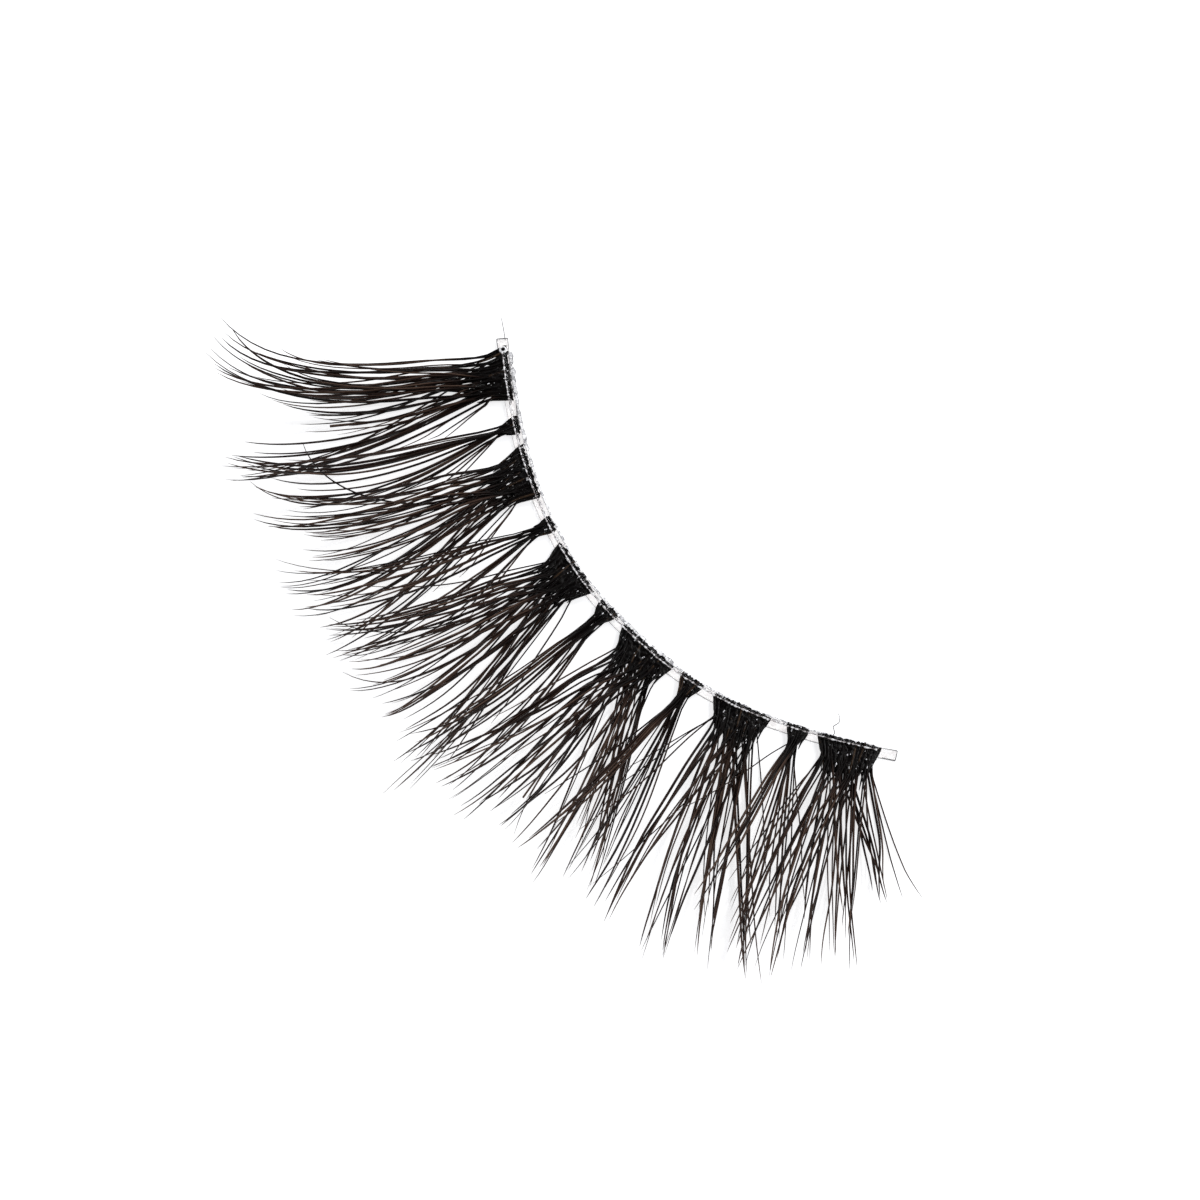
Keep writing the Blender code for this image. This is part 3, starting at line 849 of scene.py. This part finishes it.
def fibre_tree(name, taper):
    """Fibres that follow their guides: mixed at the root, side by side in a lock, open at the tip."""
    tree, given = new_tree(name, {
        "Int": ("Fibres per lock", "Sides", "Steps", "Seed"),
        "Float": (
            "Root mix", "Gather end", "Lock half width", "Tip spread", "Stray reach", "Tip drop",
            "Shortest", "Root cut", "Wave", "Fibre radius", "Thinnest", "Thickest",
        ),
        "Material": ("Material",),
    })
    seed = given["Seed"]
    lines = node(tree, "GeometryNodeMeshToCurve", {"Mesh": given["Geometry"]})
    inputs = {"Geometry": lines.outputs["Curve"], "Amount": given["Fibres per lock"]}
    copies = node(tree, "GeometryNodeDuplicateElements", inputs, domain="SPLINE")

    # What is each fibre's own, held before its points are moved
    shorter = math_of(tree, "POWER", random_value(tree, 0.0, 1.0, seed, 1), 1.6)
    shorter = product(tree, shorter, given["Shortest"])
    number = total(tree, copies.outputs["Duplicate Index"], random_value(tree, -0.2, 1.2, seed, 4))
    in_turn = math_of(tree, "DIVIDE", product(tree, number, 2.0), given["Fibres per lock"])
    rooted = total(tree, copies.outputs["Duplicate Index"], random_value(tree, -0.1, 1.1, seed, 3))
    rooted = math_of(tree, "DIVIDE", product(tree, rooted, 2.0), given["Fibres per lock"])
    fibres, own = captured(tree, copies.outputs["Geometry"], "CURVE", {
        "length": less(tree, 1.0, shorter),
        "cut": random_value(tree, 0.0, given["Root cut"], seed, 2),
        "place": less(tree, rooted, 1.0),
        "side": less(tree, in_turn, 1.0),
        "layer": random_value(tree, -1.0, 1.0, seed, 5),
        "open": random_value(tree, -1.0, 1.0, seed, 6),
        "stray": random_value(tree, -1.0, 1.0, seed, 7),
        "drop": random_value(tree, -1.0, 0.1, seed, 8),
        "gather": random_value(tree, 0.7, 1.2, seed, 9),
        "thick": random_value(tree, given["Thinnest"], given["Thickest"], seed, 10),
        "tint": random_value(tree, 0.0, 1.0, seed, 11),
        "wave": random_value(tree, 0.0, 40.0, seed, 12),
    })
    inputs = {"Curve": fibres, "Start": own["cut"], "End": own["length"]}
    cut = node(tree, "GeometryNodeTrimCurve", inputs, mode="FACTOR")
    inputs = {"Curve": cut.outputs["Curve"], "Count": given["Steps"]}
    fine = node(tree, "GeometryNodeResampleCurve", inputs)

    # Sideways: from its own place in the root to its place in the lock, then apart at the tip
    across, share = stored(tree, "across", "FLOAT_VECTOR"), stored(tree, "share")
    gather_end = product(tree, given["Gather end"], own["gather"])
    gathered = eased(tree, share, start=-0.05, end=gather_end)
    opened = eased(tree, share, start=0.50, end=1.05)
    at_root = less(tree, own["place"], stored(tree, "root"))
    at_root = product(tree, at_root, given["Root mix"], less(tree, 1.0, gathered))
    in_lock = product(tree, own["side"], gathered, given["Lock half width"])
    in_lock = product(tree, in_lock, shaped(tree, share, LOCK_WIDTH))
    apart = signed_power(tree, own["open"], power=3.0)
    at_tip = product(tree, apart, opened, given["Tip spread"])
    astray = signed_power(tree, own["stray"], power=4.0)
    leaning = product(tree, astray, share, given["Stray reach"])
    place = vector_of(tree, X=own["wave"], Y=product(tree, share, 2.0))
    inputs = {"Vector": place, "Scale": 1.0, "Detail": 0.0}
    wander = node(tree, "ShaderNodeTexNoise", inputs).outputs["Fac"]
    wander = product(tree, less(tree, wander, 0.5), given["Wave"], gathered)
    sideways = total(tree, in_lock, at_tip, leaning, wander)

    # Height: its layer in the bundle, a softer or stronger curl, and never through the floor
    in_bundle = product(tree, stored(tree, "bundle"), own["layer"])
    height = total(tree, in_bundle, product(tree, own["drop"], given["Tip drop"], opened))
    side = node(tree, "ShaderNodeVectorMath", {"Vector": across}, operation="NORMALIZE")
    there = summed(
        tree,
        node(tree, "GeometryNodeInputPosition").outputs["Position"],
        scaled(tree, across, at_root),
        scaled(tree, side.outputs["Vector"], sideways),
        vector_of(tree, Z=height),
    )
    parts = parts_of(tree, there)
    raised = math_of(tree, "MAXIMUM", parts["Z"], LOWEST)
    above = vector_of(tree, X=parts["X"], Y=parts["Y"], Z=raised)
    inputs = {"Geometry": fine.outputs["Curve"], "Position": above}
    moved = node(tree, "GeometryNodeSetPosition", inputs)

    # Thickness
    factor = node(tree, "GeometryNodeSplineParameter").outputs["Factor"]
    measured, on_fibre = captured(tree, moved.outputs["Geometry"], "POINT", {"along": factor})
    tapered = math_of(tree, "MAXIMUM", shaped(tree, on_fibre["along"], taper), stored(tree, "blunt"))
    radius = product(tree, given["Fibre radius"], own["thick"], stored(tree, "thick"), tapered)
    tubes = tubes_along(tree, measured, given["Sides"], radius)
    tubes = store_value(tree, tubes, "along", on_fibre["along"])
    tubes = store_value(tree, tubes, "tint", own["tint"])
    end_tree(tree, tubes, given["Material"])
    return tree


def bead_tree():
    """Small drops scattered over the upper side of a surface, drawn out in the fibres' direction."""
    tree, given = new_tree("glue_beads", {
        "Float": ("Density", "Smallest", "Largest", "Longest", "Turn"),
        "Int": ("Seed",),
        "Material": ("Material",),
    })
    normal = node(tree, "GeometryNodeInputNormal").outputs["Normal"]
    inputs = {
        "Mesh": given["Geometry"],
        "Selection": math_of(tree, "GREATER_THAN", parts_of(tree, normal)["Z"], 0.5),
        "Density": given["Density"],
        "Seed": given["Seed"],
    }
    places = node(tree, "GeometryNodeDistributePointsOnFaces", inputs)
    drop = node(tree, "GeometryNodeMeshIcoSphere", {"Radius": 1.0, "Subdivisions": 2})
    size = random_value(tree, given["Smallest"], given["Largest"], given["Seed"], 1)
    longer = random_value(tree, 1.0, given["Longest"], given["Seed"], 2)
    askew = random_value(tree, -0.35, 0.35, given["Seed"], 3)
    inputs = {
        "Points": places.outputs["Points"],
        "Instance": drop.outputs["Mesh"],
        "Rotation": vector_of(tree, Z=total(tree, given["Turn"], askew)),
        "Scale": vector_of(tree, X=product(tree, size, longer), Y=size, Z=product(tree, size, 0.6)),
    }
    drops = node(tree, "GeometryNodeInstanceOnPoints", inputs)
    end_tree(tree, drops.outputs["Instances"], given["Material"])
    return tree


def lumpy_tree():
    """A lumpy bead of glue along a line, which swells and thins as its points say."""
    tree, given = new_tree("lumpy_glue", {
        "Float": ("Radius", "Lumps", "Lump scale", "Sway"),
        "Int": ("Sides", "Steps"),
        "Material": ("Material",),
    })
    line = node(tree, "GeometryNodeMeshToCurve", {"Mesh": given["Geometry"]})
    inputs = {"Curve": line.outputs["Curve"], "Count": given["Steps"]}
    fine = node(tree, "GeometryNodeResampleCurve", inputs)
    place = node(tree, "GeometryNodeInputPosition").outputs["Position"]
    inputs = {"Vector": place, "Scale": given["Lump scale"], "Detail": 2.0}
    uneven = node(tree, "ShaderNodeTexNoise", inputs)
    parts = parts_of(tree, uneven.outputs["Color"])
    across = product(tree, less(tree, parts["X"], 0.5), given["Sway"])
    ahead = product(tree, less(tree, parts["Y"], 0.5), given["Sway"])
    inputs = {"Geometry": fine.outputs["Curve"], "Offset": vector_of(tree, X=across, Y=ahead)}
    moved = node(tree, "GeometryNodeSetPosition", inputs).outputs["Geometry"]

    # Thickness: lumpy, but never thinner than a fifth
    lump = product(tree, less(tree, uneven.outputs["Fac"], 0.5), given["Lumps"])
    lump = math_of(tree, "MAXIMUM", total(tree, lump, 1.0), 0.2)
    radius = product(tree, given["Radius"], lump, stored(tree, "swell"))
    end_tree(tree, tubes_along(tree, moved, given["Sides"], radius), given["Material"])
    return tree


def grown(name, source, tree, values, keep_source=False):
    """Grow a tree on a source object and return what it makes as a plain mesh object."""
    modifier = source.modifiers.new(tree.name, "NODES")
    modifier.node_group = tree
    for item in tree.interface.items_tree:
        if item.in_out == "INPUT" and item.name in values:
            modifier[item.identifier] = values[item.name]
    bpy.context.view_layer.update()
    graph = bpy.context.evaluated_depsgraph_get()
    mesh = bpy.data.meshes.new_from_object(source.evaluated_get(graph))
    mesh.name = name
    source.modifiers.remove(modifier)
    if not keep_source:
        bpy.data.objects.remove(source, do_unlink=True)
    return linked_object(name, mesh)


def new_material(name):
    """A new Principled material and its shader node."""
    made = bpy.data.materials.new(name)
    made.use_nodes = True
    return made, made.node_tree, made.node_tree.nodes["Principled BSDF"]


def ramp(tree, value, stops):
    """A colour ramp's colour for a value. Each stop is a position and a colour."""
    made = node(tree, "ShaderNodeValToRGB", {"Fac": value})
    elements = made.color_ramp.elements
    while len(elements) < len(stops):
        elements.new(1.0)
    for element, (position, colour) in zip(elements, stops):
        element.position = position
        element.color = (*colour, 1.0)
    return made.outputs["Color"]


def object_noise(tree, scale, detail=2.0):
    """Noise in the object's own coordinates."""
    place = node(tree, "ShaderNodeTexCoord").outputs["Object"]
    inputs = {"Vector": place, "Scale": scale, "Detail": detail}
    return node(tree, "ShaderNodeTexNoise", inputs).outputs["Fac"]


def bumps(tree, height, distance, strength):
    """A surface direction for bumps as high as the value says."""
    inputs = {"Height": height, "Distance": distance, "Strength": strength}
    return node(tree, "ShaderNodeBump", inputs).outputs["Normal"]


def fibre_value(tree, name):
    """A value that is stored on a fibre."""
    return node(tree, "ShaderNodeAttribute", attribute_name=name).outputs["Fac"]


def lying_flat(tree):
    """1 where the surface faces straight up or down, and 0 where it stands upright."""
    normal = node(tree, "ShaderNodeTexCoord").outputs["Normal"]
    return math_of(tree, "ABSOLUTE", parts_of(tree, normal)["Z"])


def espresso_fibre():
    """Espresso fibre: black in the glued root, browner on some fibres and towards the tips, with
    painted light on its upper and lower faces and painted shade on its sides.
    """
    made, tree, shader = new_material("espresso_fibre")
    tint, along_fibre = fibre_value(tree, "tint"), fibre_value(tree, "along")
    tip = product(tree, math_of(tree, "POWER", along_fibre, 3.0), 0.25)
    mottle = product(tree, object_noise(tree, scale=900.0), 0.30)
    # Painted light and shade: lighter where the fibre faces up or down, darker on its steep sides
    painted_top_light = product(tree, math_of(tree, "POWER", lying_flat(tree), 3.0), 0.35)
    value = total(tree, product(tree, tint, 0.55), tip, mottle, painted_top_light, -0.17)
    value = product(tree, value, eased(tree, along_fibre, start=0.08, end=0.26))
    colour = ramp(tree, value, (
        (0.12, (0.0028, 0.0012, 0.0009)),
        (0.40, (0.0190, 0.0092, 0.0066)),
        (0.66, (0.0600, 0.0320, 0.0220)),
        (0.94, (0.1500, 0.0960, 0.0680)),
    ))
    plug_all(tree, shader, {
        "Base Color": colour,
        "Roughness": total(tree, product(tree, tint, 0.16), 0.30),
        "Specular IOR Level": 0.10,
        "Normal": bumps(tree, object_noise(tree, scale=30000.0), distance=0.00001, strength=0.3),
    })
    return made


def glued_black():
    """Black fibres soaked with glue: glossy, with small lumps and a few brown strands."""
    made, tree, shader = new_material("glued_black")
    lumps = object_noise(tree, scale=5200.0, detail=4.0)
    brown = product(tree, math_of(tree, "POWER", fibre_value(tree, "tint"), 5.0), 0.55)
    colour = ramp(tree, total(tree, product(tree, lumps, 0.80), brown), (
        (0.30, (0.0012, 0.0006, 0.0005)),
        (0.58, (0.0050, 0.0030, 0.0022)),
        (0.82, (0.0550, 0.0310, 0.0160)),
    ))
    plug_all(tree, shader, {
        "Base Color": colour,
        "Roughness": product(tree, lumps, 0.40),
        "Specular IOR Level": 0.20,
        "Normal": bumps(tree, lumps, distance=0.00006, strength=0.9),
    })
    return made


def painted_edge_shade(tree, colour, steep, level):
    """A colour with painted shade: dark grey where the surface stands up steeply, in place of the dark
    edges that clear things show.
    """
    edge = ramp(tree, lying_flat(tree), (
        (steep, (0.040, 0.040, 0.045)),
        (level, (1.000, 1.000, 1.000)),
    ))
    inputs = {"Factor_Float": 1.0, "A_Color": colour, "B_Color": edge}
    mixed = node(tree, "ShaderNodeMix", inputs, data_type="RGBA", blend_type="MULTIPLY")
    return socket_named(mixed.outputs, "Result_Color")


def clear_film():
    """Clear film with a faint pinkish cast, fine ripples, and painted shade that turns its steep edges
    grey.
    """
    made, tree, shader = new_material("clear_film")
    ripples = object_noise(tree, scale=2600.0, detail=3.0)
    face = ramp(tree, ripples, (
        (0.36, (0.86, 0.83, 0.83)),
        (0.44, (0.99, 0.96, 0.95)),
        (0.70, (1.00, 1.00, 1.00)),
    ))
    plug_all(tree, shader, {
        "Base Color": painted_edge_shade(tree, face, steep=0.60, level=0.97),
        "Roughness": product(tree, ripples, 0.20),
        "Transmission Weight": 1.0,
        "IOR": 1.46,
        "Alpha": 0.80,
        "Normal": bumps(tree, ripples, distance=0.00005, strength=0.5),
    })
    return made


def milky_thread_painted_glow():
    """The thread over the roots: white, partly its own milky colour and partly a painted highlight that
    glows a little, with beads of glue along it.
    """
    made, tree, shader = new_material("milky_thread_painted_glow")
    beads = object_noise(tree, scale=7000.0)
    colour = ramp(tree, beads, (
        (0.42, (0.16, 0.14, 0.14)),
        (0.50, (0.60, 0.56, 0.56)),
        (0.58, (0.98, 0.98, 0.99)),
    ))
    plug_all(tree, shader, {
        "Base Color": colour,
        # Painted highlight: the thread glows a little
        "Emission Color": colour,
        "Emission Strength": 0.25,
        "Roughness": product(tree, beads, 0.30),
        "IOR": 1.48,
        "Normal": bumps(tree, beads, distance=0.00004, strength=0.8),
    })
    return made


def glowing_glint_silver():
    """Silvery white that glows a little: painted glints on the heads' specks, and a painted highlight
    on the air bubble's ring.
    """
    made, tree, shader = new_material("glowing_glint_silver")
    cloud = object_noise(tree, scale=20000.0)
    colour = ramp(tree, cloud, (
        (0.35, (0.45, 0.45, 0.47)),
        (0.60, (0.95, 0.95, 0.96)),
    ))
    plug_all(tree, shader, {
        "Base Color": colour,
        # Painted highlight: the silver glows a little, as if lit
        "Emission Color": colour,
        "Emission Strength": 0.45,
        "Roughness": product(tree, cloud, 0.30),
        "Normal": bumps(tree, cloud, distance=0.00001, strength=0.5),
    })
    return made


def wisp_and_edge_shade_grey():
    """A pale, thin wisp of fibre and dust, and the dark grey lines painted as shade along the film's
    cut ends.
    """
    made, tree, shader = new_material("wisp_and_edge_shade_grey")
    colour = ramp(tree, object_noise(tree, scale=1500.0), (
        (0.30, (0.08, 0.08, 0.085)),
        (0.70, (0.22, 0.21, 0.21)),
    ))
    plug_all(tree, shader, {"Base Color": colour, "Roughness": 0.5})
    return made


def clear_glue():
    """Dried clear glue: glassy and uneven, with dark veins painted along its lumps as shade, and
    painted shade at its steep edges.
    """
    made, tree, shader = new_material("clear_glue")
    lumps = object_noise(tree, scale=3400.0, detail=3.0)
    # The dark stops paint shade: dark veins along the contours of the lumps
    colour = ramp(tree, lumps, (
        (0.41, (0.99, 0.99, 0.99)),
        (0.46, (0.12, 0.12, 0.13)),
        (0.50, (0.40, 0.40, 0.43)),
        (0.54, (0.99, 0.99, 1.00)),
    ))
    plug_all(tree, shader, {
        "Base Color": painted_edge_shade(tree, colour, steep=0.22, level=0.62),
        "Roughness": product(tree, lumps, 0.12),
        "Transmission Weight": 1.0,
        "IOR": 1.48,
        "Alpha": 0.85,
        "Normal": bumps(tree, lumps, distance=0.00004, strength=0.7),
    })
    return made


def floor_white():
    """Plain pale floor, lit a little from below so that it stays white between the lashes."""
    made, tree, shader = new_material("floor_white")
    colour = ramp(tree, object_noise(tree, scale=14.0), (
        (0.20, (0.885, 0.885, 0.890)),
        (0.80, (0.905, 0.905, 0.905)),
    ))
    plug_all(tree, shader, {
        "Base Color": colour,
        "Emission Color": colour,
        "Emission Strength": 0.82,
        "Roughness": 0.9,
        "Specular IOR Level": 0.1,
    })
    return made


def ride_root(piece, slot, *nodes):
    """Make a finished piece move with the strip, and let it stand for the nodes that it replaces."""
    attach(piece, "root")
    if nodes:
        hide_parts(*nodes)


def cluster_fibres(cluster, number, tree, surface):
    """All the fibres of one cluster, which stand for its solid."""
    guides = [lock_guide(cluster, lock, lock_lay(cluster, lock)) for lock in cluster.locks]
    source = guide_object(cluster.name + "_guides", guides, [lock.root for lock in cluster.locks])
    fibres = grown(cluster.name + "_fibres", source, tree, {
        **PLAIN_FIBRES,
        "Fibres per lock": cluster.kind.fibres,
        "Root mix": cluster.kind.mix,
        "Gather end": 0.80,
        "Lock half width": cluster.kind.bundle,
        "Tip spread": 0.0006,
        "Stray reach": 0.0010,
        "Tip drop": 0.0006,
        "Shortest": 0.28,
        "Root cut": 0.012,
        "Wave": 0.00030,
        "Thinnest": 0.60,
        "Thickest": 1.40,
        "Steps": FIBRE_STEPS,
        "Seed": 100 * number,
        "Material": surface,
    })
    ride_root(fibres, "lash_fibre", cluster.name)


def loose_hairs(tree, surface):
    """The single hairs that cross the locks, curl away from them or stand apart."""
    by_name = {cluster.name: cluster for cluster in CLUSTERS}
    guides = []
    for hair in LOOSE_HAIRS:
        lock = Lock(hair.root, hair.lean, hair.length, hair.bend, hair.curl, HAIR_THICK)
        cluster = by_name[hair.cluster]
        lay = min(lock_lay(cluster, lock), HAIR_LAY)
        guides.append(lock_guide(cluster, lock, lay))
    source = guide_object(
        "loose_hair_guides",
        guides,
        [hair.root for hair in LOOSE_HAIRS],
        [hair.thick for hair in LOOSE_HAIRS],
        [hair.blunt for hair in LOOSE_HAIRS],
    )
    hairs = grown("loose_hairs", source, tree, {
        **PLAIN_FIBRES,
        "Lock half width": 0.0001,
        "Wave": 0.0003,
        "Seed": 7,
        "Material": surface,
    })
    ride_root(hairs, "lash_fibre")


def glued_strands(cluster, number, tree, surface):
    """Glue-soaked strands of a cluster's head, uneven at the root and where they run out."""
    guides, places = [], []
    strand_count = cluster.kind.strands + round(STRANDS_MORE * cluster.station)
    for layer, shift in ((-1.0, 0.5), (1.0, 0.0)):
        for i in range(strand_count):
            places.append(STRAND_FILL * (2 * (i + shift) / (strand_count - 0.5) - 1))
            guides.append(head_guide(cluster, places[-1], layer))
    source = guide_object(cluster.name + "_strand_guides", guides, places)
    strands = grown(cluster.name + "_glued_strands", source, tree, {
        **PLAIN_FIBRES,
        "Tip spread": 0.00010,
        "Stray reach": 0.00012,
        "Shortest": 0.45,
        "Root cut": 0.03,
        "Fibre radius": STRAND_RADIUS,
        "Thinnest": 0.75,
        "Thickest": 1.20,
        "Sides": 6,
        "Steps": 10,
        "Seed": 1000 + 100 * number,
        "Material": surface,
    })
    ride_root(strands, "lash_fibre")


def glued_head(cluster, number, surface):
    """The solid block of glue at a cluster's root ends: flared at the band, ragged all round."""
    stand = head_stand(cluster)
    glued = cluster.kind.glue_reach * (GLUE_FIRST + GLUE_FURTHER * cluster.station)
    mesh = bpy.data.meshes.new(cluster.name + "_glued_head")
    bm = bmesh.new()
    top, bottom = [], []
    for j in range(GLUE_ACROSS + 1):
        side = 2 * j / GLUE_ACROSS - 1
        # Each head has its own place in the noise
        jag = noise.noise(Vector((side * cluster.width * 6, number * 7.3, 0.0)))
        ragged = noise.noise(Vector((side * root_width(cluster) * 4000, number * 3.1, 5.0)))
        reach = cluster.kind.head_length * (glued + GLUE_JAG * max(jag, GLUE_GAP))
        reach *= 1 - GLUE_CORNERS * abs(side) ** 6
        start = root_out() + ROOT_RAGGED * ragged
        top.append([])
        bottom.append([])
        for i in range(GLUE_OUT + 1):
            share = i / GLUE_OUT
            out = start + share * (reach - start)
            place = head_place(stand, GLUE_FILL * side * half_width(cluster, out), out)
            half = GLUE_HALF * (1 + GLUE_UNEVEN * noise.noise(place * GLUE_ROUGH))
            half *= 1 - GLUE_SIDE_THINNED * abs(side) ** 5
            half *= 1 - GLUE_EDGE_THINNED * share ** 4
            over, under = HEAD_MIDDLE + half, HEAD_MIDDLE - GLUE_UNDER * half
            top[-1].append(bm.verts.new(place + Vector((0.0, 0.0, over))))
            bottom[-1].append(bm.verts.new(place + Vector((0.0, 0.0, under))))
    for j in range(GLUE_ACROSS):
        for i in range(GLUE_OUT):
            bm.faces.new((top[j][i], top[j][i + 1], top[j + 1][i + 1], top[j + 1][i]))
            bm.faces.new((bottom[j][i], bottom[j + 1][i], bottom[j + 1][i + 1], bottom[j][i + 1]))
    rim = [(j, 0) for j in range(GLUE_ACROSS)] + [(GLUE_ACROSS, i) for i in range(GLUE_OUT)]
    rim += [(j, GLUE_OUT) for j in range(GLUE_ACROSS, 0, -1)] + [(0, i) for i in range(GLUE_OUT, 0, -1)]
    for (j, i), (k, m) in zip(rim, rim[1:] + rim[:1]):
        bm.faces.new((top[j][i], top[k][m], bottom[k][m], bottom[j][i]))
    bmesh.ops.recalc_face_normals(bm, faces=bm.faces)
    bm.to_mesh(mesh)
    bm.free()
    mesh.materials.append(surface)
    mesh.shade_smooth()
    made = linked_object(cluster.name + "_glued_head", mesh)
    ride_root(made, "lash_fibre")
    return made


def glue_drops(cluster, number, kind, head, tree, surface):
    """Clear drops of glue on a head, which catch the light, and the silvery specks that are painted
    glints, one kind at a time.
    """
    out = outward(band_heading(cluster.station))
    drops = grown(cluster.name + kind.ending, head, tree, {
        "Density": kind.density,
        "Smallest": 0.4 * kind.largest,
        "Largest": kind.largest,
        "Longest": kind.longest,
        "Turn": math.atan2(out.y, out.x),
        "Seed": 40 + number,
        "Material": surface,
    }, keep_source=True)
    ride_root(drops, "clear_film")


def band_place(station, out, height):
    """A place by the band: along it, out from its middle line and up from its underside."""
    place = band_point(station) + out * outward(band_heading(station))
    return place + Vector((0.0, 0.0, height))


def line_along_band(name, line, tree, surface, *nodes):
    """An uneven line of glue or thread along the band, which stands for the nodes, if any."""
    reach = 1 - 2 * line.inset
    stations = [line.inset + reach * i / (LINE_POINTS - 1) for i in range(LINE_POINTS)]
    places = [band_place(station, line.out, line.height) for station in stations]
    swells = [read_table(line.swells, "station", "swell", station) for station in stations]
    mesh = bpy.data.meshes.new(name + "_line")
    mesh.from_pydata(places, [(i, i + 1) for i in range(LINE_POINTS - 1)], [])
    point_values(mesh, "swell", swells)
    made = grown(name, linked_object(name + "_line", mesh), tree, {
        "Radius": line.radius,
        "Lumps": line.lumps,
        "Lump scale": line.grain,
        "Sway": line.sway,
        "Sides": line.sides,
        "Steps": line.steps,
        "Material": surface,
    })
    ride_root(made, "clear_film", *nodes)


def air_bubble(ring_surface, core_surface):
    """The bubble on the first root at the band's end: a silvery ring, which glows a little as a painted
    highlight, round a dark core.
    """
    place = band_place(RING_STATION, RING_OUT, RING_HEIGHT)
    for name, radius, height, surface in (
        ("bubble_ring", RING_RADIUS, RING_FLATTENED, ring_surface),
        ("bubble_core", CORE_RADIUS, CORE_FLATTENED, core_surface),
    ):
        bm = bmesh.new()
        bmesh.ops.create_icosphere(bm, subdivisions=3, radius=radius)
        for vertex in bm.verts:
            vertex.co.z *= height
            vertex.co += place
        mesh = bpy.data.meshes.new(name)
        bm.to_mesh(mesh)
        bm.free()
        mesh.materials.append(surface)
        mesh.shade_smooth()
        ride_root(linked_object(name, mesh), "clear_film")


def wisp(name, slot, points, tree, surface):
    """A pale wisp, or a thin dark grey line painted as shade along a cut end of the film, through the
    points of its table.
    """
    places = [band_place(point.station, point.out / 1000, point.height / 1000) for point in points]
    across = outward(band_heading(points[0].station)) * WISP_RADIUS
    last = len(places) - 1
    guide = [GuidePoint(place, across, 0.0, i / last) for i, place in enumerate(places)]
    made = grown(name, guide_object(name + "_guide", [guide], [0.0]), tree, {
        **PLAIN_FIBRES,
        "Wave": 0.0001,
        "Fibre radius": WISP_RADIUS,
        "Seed": 3,
        "Material": surface,
    })
    ride_root(made, slot)


def make_floor(surface):
    """The floor, just below the band's underside."""
    bpy.ops.mesh.primitive_plane_add(size=FLOOR_SIZE, location=(0.0, 0.0, 0.0))
    floor = bpy.context.active_object
    floor.name = "floor"
    for vertex in floor.data.vertices:
        vertex.co.z = -FLOOR_DEPTH
    floor.data.materials.append(surface)


def area_light(name, place, size, power):
    """A soft light that faces the strip."""
    light = bpy.data.lights.new(name, "AREA")
    light.size = size
    light.energy = power
    made = linked_object(name, light)
    made.location = place
    made.rotation_euler = (-Vector(place)).to_track_quat("-Z", "Y").to_euler()


def make_light():
    """A bright ring of surroundings under a dim ceiling, a soft key light and one for the glints."""
    world = bpy.data.worlds.new("studio")
    world.use_nodes = True
    tree = world.node_tree
    direction = node(tree, "ShaderNodeTexCoord").outputs["Generated"]
    colour = ramp(tree, parts_of(tree, direction)["Z"], (
        (0.00, (0.94, 0.95, 0.98)),
        (0.55, (0.92, 0.94, 1.00)),
        (0.80, (0.09, 0.10, 0.12)),
    ))
    plug_all(tree, tree.nodes["Background"], {"Color": colour, "Strength": 0.5})
    bpy.context.scene.world = world
    area_light("key", place=(-0.033, 0.522, 0.45), size=0.40, power=1.9)
    area_light("glint", place=(0.28, 0.12, 0.50), size=0.035, power=0.45)


def make_camera():
    """The camera at the photograph's viewing angle."""
    azimuth, elevation = math.radians(VIEW_AZIMUTH), math.radians(VIEW_ELEVATION)
    back = Vector((
        math.sin(azimuth) * math.cos(elevation),
        -math.cos(azimuth) * math.cos(elevation),
        math.sin(elevation),
    ))
    data = bpy.data.cameras.new("camera")
    data.sensor_width = SENSOR_WIDTH
    data.lens = SENSOR_WIDTH * VIEW_DISTANCE / VIEW_WIDTH
    camera = linked_object("camera", data)
    camera.location = VIEW_TARGET + VIEW_DISTANCE * back
    camera.rotation_euler = (-back).to_track_quat("-Z", "Y").to_euler()
    bpy.context.scene.camera = camera


make_camera()
make_light()
make_floor(floor_white())
bpy.context.scene.view_settings.view_transform = "Standard"

FIBRE = espresso_fibre()
GLUED = glued_black()
GLUE = clear_glue()
SILVER = glowing_glint_silver()
WISP = wisp_and_edge_shade_grey()
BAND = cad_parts["clear_band"]
BAND.data.materials.clear()
BAND.data.materials.append(clear_film())

FIBRES = fibre_tree("lash_fibres", FIBRE_TAPER)
STRANDS = fibre_tree("glued_strands", STRAND_TAPER)
BEADS, LUMPY = bead_tree(), lumpy_tree()
for number, cluster in enumerate(CLUSTERS, 1):
    cluster_fibres(cluster, number, FIBRES, FIBRE)
    glued_strands(cluster, number, STRANDS, GLUED)
    head = glued_head(cluster, number, GLUED)
    glue_drops(cluster, number, CLEAR_DROPS, head, BEADS, GLUE)
    glue_drops(cluster, number, PAINTED_GLINTS, head, BEADS, SILVER)
loose_hairs(FIBRES, FIBRE)
line_along_band("edge_glue", EDGE_LINE, LUMPY, GLUE)
line_along_band("root_glue", ROOT_LINE, LUMPY, GLUE)
line_along_band("beaded_thread", THREAD_LINE, LUMPY, milky_thread_painted_glow(), "clear_thread")
air_bubble(SILVER, GLUED)
wisp("end_wisp", "lash_fibre", END_WISP, FIBRES, WISP)
wisp("curly_wisp", "lash_fibre", CURLY_WISP, FIBRES, WISP)
# These two lines are painted shade along the film's cut ends
wisp("first_end_painted_edge", "clear_film", FIRST_END, FIBRES, WISP)
wisp("last_end_painted_edge", "clear_film", LAST_END, FIBRES, WISP)
